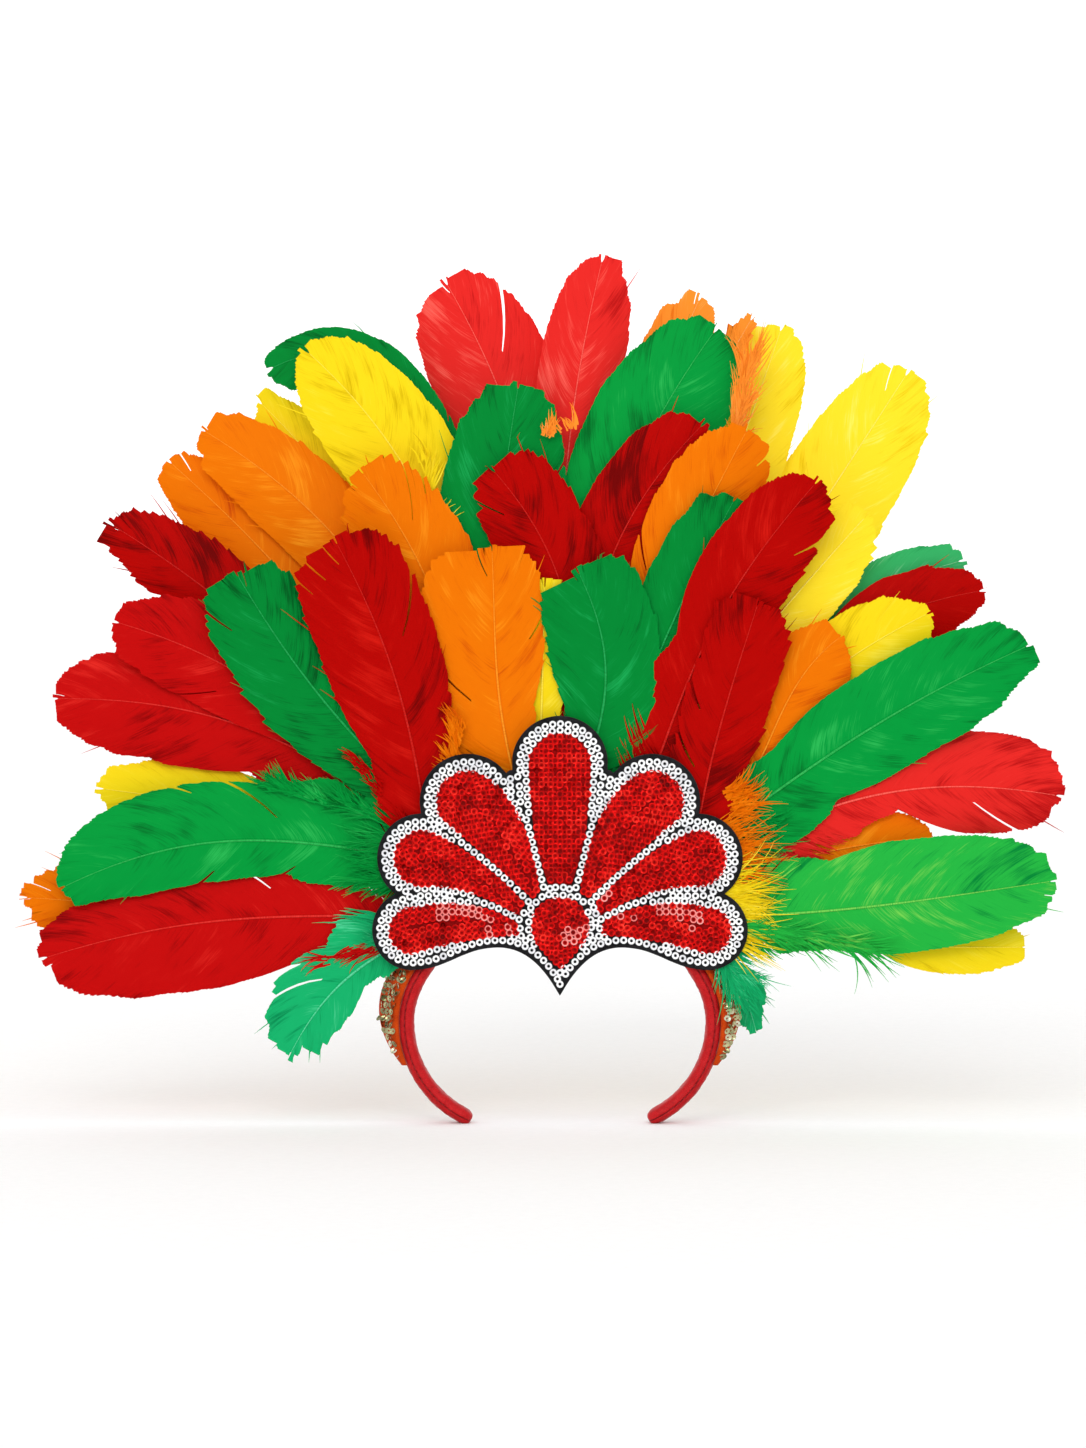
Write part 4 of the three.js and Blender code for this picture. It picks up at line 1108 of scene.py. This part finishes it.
def sequin_template(hole, size):
    """A cup sequin that looks along -Y: a hole, a sloping ring and a raised rim."""
    turns = np.linspace(0, 2 * np.pi, SEQUIN_SIDES, endpoint=False)
    rings = [(hole, 0.0), (1.0, -0.26), (1.36, -0.46), (SEQUIN_RADIUS, -0.4), (SEQUIN_RADIUS, -0.28)]
    return np.array([[(r * math.cos(t), y, r * math.sin(t)) for t in turns] for r, y in rings]) * size


def spun(template, spin):
    """A template's x, y and z, turned about its own axis once for each spin."""
    x, y, z = (template[None, ..., k] for k in range(3))
    cos, sin = (f(spin)[:, None, None] for f in (np.cos, np.sin))
    return x * cos - z * sin, y, x * sin + z * cos


def sequin_piece(name, points, template, size, rng, materials, slots):
    """One object of many sequins, each with its own colour and its own cell in the bake map."""
    count, rings, sides = points.shape[:3]
    faces = np.concatenate([grid_faces(rings, sides, wrap=True) + k * rings * sides for k in range(count)])
    across = math.ceil(math.sqrt(count))
    spread = template / (CELL_WIDTH * SEQUIN_RADIUS * size)
    shrink = np.linspace(INNER_RING, 1, rings)[None, :, None]
    cells = np.divmod(np.arange(count), across)[::-1]
    bake = [(cell[:, None, None] + 0.5 + spread[None, ..., k] * shrink) / across
            for cell, k in zip(cells, (0, 2))]
    shade = rng.uniform(0, COLOUR_SPREAD, count)[:, None, None]
    uv = np.stack(np.broadcast_arrays(shade, np.zeros(points.shape[:3])), axis=-1)
    parts = Parts()
    parts.add(points, faces, uv, np.stack(bake, axis=-1), slots)
    return parts.make(name, materials, smooth=False)


def sequin_field(name, places, depth, materials, rng, tilt, hole, lean=(0, 0), glossy=False):
    """Cup sequins at places in the crest's plane. With three materials, the middles have the first, the lips
    the second, lighter as a painted highlight, and the lips of glossy sequins the third, painted pale pink
    as a highlight under a real glossy coat."""
    template = sequin_template(hole, SEQUIN_SIZE)
    rings, sides = template.shape[:2]
    count = len(places)
    turn_x, turn_z = rng.normal(0, tilt, (2, count))
    turn_x, turn_z = turn_x + lean[0], turn_z + lean[1]
    x, y, z = spun(template, rng.uniform(0, 2 * np.pi, count))
    y = y + np.tan(turn_x)[:, None, None] * z + np.tan(turn_z)[:, None, None] * x
    depth = np.broadcast_to(depth, count)[:, None, None]
    points = np.stack([x + places[:, 0, None, None], y + depth, z + places[:, 1, None, None]], axis=-1)
    points[..., 1] += rng.uniform(-0.06, 0.06, count)[:, None, None]
    lips = np.repeat([0] + [1] * (rings - 2), sides)
    slots = 0
    # Lips get the lighter painted highlight material, and the lips of glinting sequins the pale pink painted
    # highlight
    if len(materials) > 1:
        slots = np.tile(lips, count)
        slots = np.where(np.repeat(np.broadcast_to(glossy, count), len(lips)) & (slots == 1), 2, slots)
    return sequin_piece(name, points, template, SEQUIN_SIZE, rng, materials, slots)


def rounded_plate(name, loop, front, back, edge, material):
    """A plate with rounded edges from a closed outline."""
    curve = bpy.data.curves.new(name, "CURVE")
    curve.dimensions = "2D"
    curve.fill_mode = "BOTH"
    curve.extrude = (back - front) / 2 * MM - edge * MM
    curve.bevel_depth = edge * MM
    curve.bevel_resolution = 2
    curve.offset = -edge * MM
    spline = curve.splines.new("POLY")
    spline.points.add(len(loop) - 1)
    for point, (x, z) in zip(spline.points, loop):
        point.co = (x * MM, z * MM, 0, 1)
    spline.use_cyclic_u = True
    drawn = bpy.data.objects.new(name + "_outline", curve)
    bpy.context.scene.collection.objects.link(drawn)
    bpy.context.view_layer.update()
    mesh = bpy.data.meshes.new_from_object(drawn.evaluated_get(bpy.context.evaluated_depsgraph_get()))
    bpy.data.objects.remove(drawn)
    places = np.zeros(len(mesh.vertices) * 3)
    mesh.vertices.foreach_get("co", places)
    places = places.reshape(-1, 3)
    turned = np.stack([places[:, 0], (front + back) / 2 * MM - places[:, 2], places[:, 1]], axis=1)
    mesh.vertices.foreach_set("co", turned.ravel())
    mesh.materials.clear()
    mesh.materials.append(material)
    mesh.name = name
    piece = bpy.data.objects.new(name, mesh)
    bpy.context.scene.collection.objects.link(piece)
    return piece


PETALS = [f"petal_{side}" for side in (
    "left_lower", "left_middle", "left_upper", "centre", "right_upper", "right_middle", "right_lower")]


# Where the red sequins catch the light, x, z and reach: there they lean towards the soft key, and where it
# is strong their lips are painted pale pink as a highlight
GLINTS = [
    (-49, -3.5, 4.2), (-41, -1.2, 3), (-36, -3, 3), (-31, -5.5, 3), (-30, -11, 2), (-20.5, -10, 2),
    (25, -3.5, 2.6), (31, -5.5, 2.6), (43, -1, 3.4), (50, -3, 3.4), (57, -5, 3), (55, -10, 2.4),
    (19.5, 4, 2), (5, -13, 4.4), (11, -9, 2.4),
]
GLINT_LEAN = (0.2, -0.13)    # up and to the left, between the soft key and the camera


# Rows and room of the sequins. The margins are what their middles keep from an edge
RIM_MARGIN, FELT_MARGIN, FIELD_MARGIN, RED_MARGIN = 0.95, 2.5, 0.6, 0.55
RIM_ROW, FIELD_ROWS, FILL_PITCH = 1.2, (0.9, 3.9), 0.6
RED_ROWS, RED_PITCH = np.arange(0.9, 14, 2.5), 2.75
WHITE_APART, RED_APART = 2.35, 2.2
WHITE_TILT, RED_TILT = 0.07, 0.21
COLUMN_PITCH, COLUMN_STEP, COLUMN_DROP = 3.9, 0.55, 4      # of the centre petal
FELT_EDGE, GROUND_THICKNESS, GROUND_EDGE, BLOCK_EDGE = 0.5, 0.1, 0.02, 1.6


def add_border(backing, rng):
    """White sequins along the rim and round each petal, two rows wide where there is room."""
    white = sequin_material("white_sequins", (214, 215, 220), (244, 245, 247), (255, 255, 255), 0.35, 0, 0.2)
    loops = [smoothed(loop) for loop in front_loops("crest_border")]
    rim, fields = loops[0], loops[1:]

    def in_border(points):
        good = inside(rim, points) & (distance_to(rim, points) > RIM_MARGIN)
        good |= inside(backing, points) & (distance_to(backing, points) > FELT_MARGIN)
        for field in fields:
            good &= ~inside(field, points) & (distance_to(field, points) > FIELD_MARGIN)
        return good

    rows = [medial_row(field, [other for other in fields if other is not field], SEQUIN_PITCH, TWO_ROWS)
            for field in fields]
    rows.append(offset_row(rim, RIM_ROW, SEQUIN_PITCH))
    for distance in FIELD_ROWS:
        rows += [offset_row(field, distance, SEQUIN_PITCH, outwards=True) for field in fields]
    spread = [np.arange(low, high, FILL_PITCH) for low, high in zip(rim.min(axis=0), rim.max(axis=0))]
    rows.append(np.stack(np.meshgrid(*spread), axis=-1).reshape(-1, 2))
    places = np.array(place_rows(rows, in_border, WHITE_APART))
    piece = sequin_field("white_sequin_border", places, SEQUIN_BACK - SEQUIN_STAND, [white],
                         rng, WHITE_TILT, WHITE_HOLE)
    hand_over(piece, "white_sequins", "crest_border")


def glint_at(places):
    """How much each place catches the light, from 0 to 1."""
    light = np.zeros(len(places))
    for x, z, reach in GLINTS:
        light += np.exp(-(np.linalg.norm(places - (x, z), axis=1) / reach) ** 4)
    return np.clip(light, 0, 1)


def add_red_field(node, materials, ground, rng):
    """The red sequins of a petal or the drop: rings, or staggered columns in the centre petal."""
    field = smoothed(front_loops(node)[0])

    def in_field(points):
        return inside(field, points) & (distance_to(field, points) > RED_MARGIN)

    low, high = field.min(axis=0), field.max(axis=0)
    columns = node == "petal_centre"
    if columns:
        rows = [np.array([(x, z) for x in (np.arange(-5, 6) + shift) * COLUMN_PITCH])
                for shift, first in ((0, 1.6), (0.5, 3.6))
                for z in np.arange(high[1] - first, low[1], -COLUMN_DROP)]
    else:
        rows = [offset_row(field, distance, RED_PITCH) for distance in RED_ROWS]
    places = np.array(place_rows(rows, in_field, RED_APART))
    sunk = np.zeros(len(places))
    if columns:
        across = places[:, 0] / COLUMN_PITCH
        sunk = np.abs(across - np.round(across)) * COLUMN_STEP
    # Near a glint the sequins lean towards the light; where it is strong their lips get the pale pink
    # painted highlight
    light = glint_at(places)
    lean = (GLINT_LEAN[0] * light, GLINT_LEAN[1] * light)
    piece = sequin_field(f"{node}_sequins", places, SEQUIN_BACK - SEQUIN_STAND + sunk, materials, rng,
                         RED_TILT * (1.1 - light), RED_HOLE, lean, light > 0.5)
    hand_over(piece, "red_sequins", node)
    front = SEQUIN_BACK - GROUND_THICKNESS
    plate = rounded_plate(f"{node}_ground", field, front, SEQUIN_BACK, GROUND_EDGE, ground)
    hand_over(plate, "red_sequins")


def add_crest(felt):
    backing = smoothed(front_loops("crest_backing")[0])
    plate = rounded_plate("felt_backing", backing, BACKING_FRONT, BACKING_BACK, FELT_EDGE, felt)
    hand_over(plate, "black_felt", "crest_backing")
    rng = np.random.default_rng(7)
    add_border(backing, rng)
    # Middles; lips lighter as a painted highlight; glint lips painted pale pink as a highlight under a real
    # glossy coat
    red = [
        sequin_material("red_sequins", (96, 0, 0), (172, 2, 0), (222, 10, 6), 0.32, 0.75, 0),
        sequin_material("red_sequin_lips_painted_highlight", (160, 0, 0), (224, 6, 4), (255, 58, 44), 0.32, 0.75, 0),
        sequin_material("red_sequin_painted_glints", (232, 92, 88), (246, 132, 126), (253, 172, 166), 0.3, 0, 1),
    ]
    ground = felt_material("red_ground", (110, 0, 2), (160, 4, 4))
    for node in [*PETALS, "crest_drop"]:
        add_red_field(node, red, ground, rng)


# Headband

def band_arcs():
    """The right half of the band's inside: each arc's centre, radius, start and end in degrees."""
    top = np.array([0, -BAND_TOP_RADIUS])
    side = polar(top, BAND_TOP_SWEEP, BAND_TOP_RADIUS - BAND_SIDE_RADIUS)
    arm = polar(side, 90, BAND_SIDE_RADIUS - BAND_ARM_RADIUS)
    return [(top, BAND_TOP_RADIUS, 0, BAND_TOP_SWEEP), (side, BAND_SIDE_RADIUS, BAND_TOP_SWEEP, 90),
            (arm, BAND_ARM_RADIUS, 90, 90 + BAND_ARM_SWEEP)]


def band_path(pitch):
    """Points on the band's inside and outward directions, from the left tip to the right one."""
    inner, outward = [], []
    for centre, radius, start, end in band_arcs():
        count = max(2, round(math.radians(end - start) * radius / pitch))
        angles = np.linspace(start, end, count + 1)[1 if inner else 0:]
        inner.append(polar(centre, angles, np.full(len(angles), radius)))
        outward.append(heading(angles))
    inner, outward = np.concatenate(inner), np.concatenate(outward)
    return [np.concatenate([half[:0:-1] * (-1, 1), half]) for half in (inner, outward)]


BAND_SIDES = 96
SEAM_OFF = 2.9             # from the outer edge, on the front
SEAM_DEPTH, SEAM_HALF = 0.6, 0.4
HEM_STEP, HEM_REACH, HEM_EDGE = 0.3, 2.6, 0.25
RIDGE_OFF, RIDGE_HALF, RIDGE_STEP = 0.75, 0.4, 0.1
# Puckers by the seam and folds elsewhere: pitch along the band, and lean across it
PUCKERS = ((2.1, 0.35), (3.3, -0.5), (5.3, 0.8))
FOLDS = ((8, 1.1), (13, -1.6), (3.1, -0.3))
PUCKER_DEPTH, PUCKER_REACH, FOLD_DEPTH = 0.045, 3, 0.05
SATIN_ROOM = 0.12            # how far the satin lies inside the solid where it has no relief
TIP_TURNS = np.radians([15, 30, 45, 58, 70, 80, 88])
TIP_FULLNESS = 0.6


def band_section():
    """The padded section: how far out from the inside, how deep, the way out of each point, and
    millimetres round from the seam."""
    turns = np.linspace(0, 2 * np.pi, 4000, endpoint=False)
    power = 2 / BAND_SQUARENESS
    across = np.sign(np.cos(turns)) * np.abs(np.cos(turns)) ** power * BAND_THICKNESS / 2
    deep = np.sign(np.sin(turns)) * np.abs(np.sin(turns)) ** power * BAND_DEPTH / 2
    outline = np.stack([across, deep], axis=1)
    outline = resampled(outline, loop_length(outline) / BAND_SIDES)
    normal = np.roll(outline, -1, axis=0) - np.roll(outline, 1, axis=0)
    normal = np.stack([normal[:, 1], -normal[:, 0]], axis=1)
    normal /= np.linalg.norm(normal, axis=1, keepdims=True)
    step = loop_length(outline) / len(outline)
    front = np.flatnonzero(outline[:, 1] < -BAND_DEPTH / 2 * 0.8)
    seam = front[np.argmin(np.abs(outline[front, 0] - (BAND_THICKNESS / 2 - SEAM_OFF)))]
    around = (np.arange(len(outline)) - seam + len(outline) / 2) % len(outline) - len(outline) / 2
    return outline, normal, around * step


def waves(run, around, table, phases):
    """The sum of a table's waves along the band."""
    return sum(np.sin(2 * np.pi * (run + lean * around) / pitch + phase)
               for (pitch, lean), phase in zip(table, phases))


def band_relief(run, around, phases):
    """How far the satin stands off the padding: folds, puckers, the seam and its hem."""
    near_seam = np.exp(-np.abs(around) / PUCKER_REACH)
    puckers = waves(run, around, PUCKERS, phases)
    folds = waves(run, around, FOLDS, phases[len(PUCKERS):])
    seam = np.exp(-(around / SEAM_HALF) ** 2)
    hem = np.clip(around / HEM_EDGE, 0, 1) * np.clip(1 - around / HEM_REACH, 0, 1)
    ridge = np.exp(-((around + RIDGE_OFF) / RIDGE_HALF) ** 2)
    return (PUCKER_DEPTH * puckers * (0.35 + near_seam) + FOLD_DEPTH * folds - SEAM_DEPTH * seam
            - HEM_STEP * hem + RIDGE_STEP * ridge - SATIN_ROOM)


def add_headband():
    inner, outward = band_path(1)
    run = run_along(inner)
    outline, normal, around = band_section()
    phases = np.random.default_rng(11).uniform(0, 6, len(PUCKERS) + len(FOLDS))
    stations = [(inner[0], outward[0], math.cos(t), -BAND_TIP_LENGTH * math.sin(t), run[0])
                for t in TIP_TURNS[::-1]]
    stations += [(at, out, 1, 0, length) for at, out, length in zip(inner, outward, run)]
    stations += [(inner[-1], outward[-1], math.cos(t), BAND_TIP_LENGTH * math.sin(t), run[-1])
                 for t in TIP_TURNS]
    rings, lengths = [], []
    for at, out, size, slide, length in stations:
        length = length + slide
        section = (outline + normal * band_relief(length, around, phases)[:, None]) * size ** TIP_FULLNESS
        flat = at + out * (BAND_THICKNESS / 2 + section[:, :1]) + np.array([out[1], -out[0]]) * slide
        rings.append(np.stack([flat[:, 0], section[:, 1], flat[:, 1]], axis=1))
        lengths.append(length)
    rings = np.array(rings)
    uv = np.stack(np.broadcast_arrays(np.array(lengths)[:, None], around[None, :]), axis=-1)
    band = make_object("satin_band", rings.reshape(-1, 3), tube_faces(len(rings), len(outline)),
                       [("Barb", uv.reshape(-1, 2))], [satin_material()])
    hand_over(band, "red_satin", "headband")
    add_stitches(rings[len(TIP_TURNS):-len(TIP_TURNS), np.argmin(np.abs(around))], run)


def capsule_rows(starts, ends, radius, sides=6):
    """Rounded little threads from starts to ends."""
    axis = ends - starts
    size = np.linalg.norm(axis, axis=1, keepdims=True)
    axis = axis / size
    helper = np.where(np.abs(axis[:, 1:2]) < 0.9, [[0, 1, 0]], [[1, 0, 0]])
    one = np.cross(axis, helper)
    one /= np.linalg.norm(one, axis=1, keepdims=True)
    two = np.cross(axis, one)
    turns = np.linspace(0, 2 * np.pi, sides, endpoint=False)
    profile = [(0, 0.15), (0.12, 0.8), (0.3, 1), (0.7, 1), (0.88, 0.8), (1, 0.15)]
    rings = []
    for along, thick in profile:
        centre = starts + axis * size * along
        ring = (one[:, None] * np.cos(turns)[None, :, None] + two[:, None] * np.sin(turns)[None, :, None])
        rings.append(centre[:, None] + ring * radius * thick)
    points = np.stack(rings, axis=1)
    faces = np.concatenate([grid_faces(len(profile), sides, wrap=True) + k * len(profile) * sides
                            for k in range(len(starts))])
    return points.reshape(-1, 3), faces


STITCH_PITCH, STITCH_LENGTH, STITCH_RADIUS, STITCH_LIFT = 3, 1.9, 0.2, 0.16
FIRST_STITCH = 4


def add_stitches(seam, run):
    """Running stitches that lie in the seam."""
    thread = thread_material("red_thread", (120, 6, 10), (176, 30, 30))
    starts = np.arange(FIRST_STITCH, run[-1] - FIRST_STITCH, STITCH_PITCH)
    lift = np.array([0, -STITCH_LIFT, 0])
    first, last = (points_at(seam, run, at) + lift for at in (starts, starts + STITCH_LENGTH))
    points, faces = capsule_rows(first, last, STITCH_RADIUS)
    hand_over(make_object("seam_stitches", points, faces, materials=[thread]), "red_satin")


# Block behind the crest

def add_block(felt):
    loop = smoothed(front_loops("feather_block")[0], pieces=3, corner=60)
    back = BLOCK_FRONT + LAYERS * LAYER_PITCH
    plate = rounded_plate("felt_block", loop, BLOCK_FRONT, back, BLOCK_EDGE, felt)
    hand_over(plate, "black_felt", "feather_block")


# Side trims

def band_outside(z):
    """How far to the right the band's outside lies at a height."""
    arcs = band_arcs()
    for centre, radius, _, end in arcs:
        if polar(centre, end, radius + BAND_THICKNESS)[1] <= z:
            break
    return centre[0] + math.sqrt((radius + BAND_THICKNESS) ** 2 - (z - centre[1]) ** 2)


def trim_width(share):
    """How wide a trim is at a share of its length from the top."""
    return TRIM_WIDTH * math.cos(math.radians(90) * share ** TRIM_HOLD) ** TRIM_BLUNT


def trim_point(share, across, off):
    """A point of a right trim: share of its length, millimetres across it and off the band."""
    flare = math.radians(TRIM_FLARE)
    z = -TRIM_TOP_DROP - TRIM_LENGTH * share
    x = band_outside(z) + GAP + across * math.sin(flare) + off * math.cos(flare)
    y = TRIM_FRONT + across * math.cos(flare) - off * math.sin(flare)
    return np.array([x, y, z])


TRIM_RINGS = 40
TRIM_SEQUIN_PITCH, TRIM_SEQUIN_LEAN = 2.7, 0.4
FIRST_DROP, LAST_DROP = 2.4, 2         # how far the sequins keep from the top and the point
FIRST_ACROSS, ROW_SHIFT, LAST_ACROSS = 0.6, 1.2, 0.8


def add_trims():
    felt = felt_material("orange_felt", (170, 44, 2), (214, 78, 8))
    gold = sequin_material("gold_sequins", (70, 74, 30), (190, 186, 140), (255, 255, 250), 0.16, 0.9, 0.2)
    shares = np.linspace(0, 0.995, TRIM_RINGS)
    for side, name in ((-1, "left"), (1, "right")):
        rings = []
        for share in shares:
            width = max(trim_width(share), TRIM_POINT)
            # The strip's section with rounded corners: across it, and off the band
            corners = [(-1, -0.2), (width - 0.3, -0.1), (width, 0.25), (width, TRIM_FELT - 0.35),
                       (width - 0.3, TRIM_FELT), (-0.4, TRIM_FELT), (-0.9, TRIM_FELT - 0.35), (-1.2, 0.1)]
            rings.append([trim_point(share, across, off) for across, off in corners])
        points = np.array(rings).reshape(-1, 3) * (side, 1, 1)
        faces = tube_faces(len(shares), len(corners))
        if side < 0:
            faces = [face[::-1] for face in faces]
        piece = make_object(f"{name}_trim_felt", points, faces, materials=[felt])
        hand_over(piece, "orange_felt", f"side_trim_{name}")
        add_trim_sequins(side, name, gold)


def add_trim_sequins(side, name, material):
    """Sequins in staggered rows on a trim, each leaning its own way."""
    rng = np.random.default_rng(21 + side)
    template = sequin_template(RED_HOLE, TRIM_SEQUIN_SIZE)
    centres = []
    for k, drop in enumerate(np.arange(FIRST_DROP, TRIM_LENGTH - LAST_DROP, TRIM_SEQUIN_PITCH)):
        share = drop / TRIM_LENGTH
        end = max(trim_width(share) - LAST_ACROSS, 2)
        for across in np.arange(FIRST_ACROSS + k % 2 * ROW_SHIFT, end, TRIM_SEQUIN_PITCH):
            centres.append(trim_point(share, across, TRIM_FELT + GAP))
    centres = np.array(centres)
    lean = rng.normal(0, TRIM_SEQUIN_LEAN, (2, len(centres)))[..., None, None]
    x, y, z = spun(template, rng.uniform(0, 6, len(centres)))
    height = lean[0] * x + lean[1] * z - y
    flare = math.radians(TRIM_FLARE)
    points = centres[:, None, None] + x[..., None] * (math.sin(flare), math.cos(flare), 0)
    points += height[..., None] * (math.cos(flare), -math.sin(flare), 0)
    points[..., 2] += z
    points[..., 0] *= side
    piece = sequin_piece(f"{name}_trim_sequins", points, template, TRIM_SEQUIN_SIZE, rng, [material], 0)
    hand_over(piece, "gold_sequins", f"side_sequins_{name}")


add_camera()
add_stage()
add_feathers()
black_felt = felt_material("black_felt", (8, 8, 9), (44, 44, 47))
add_crest(black_felt)
add_headband()
add_block(black_felt)
add_trims()
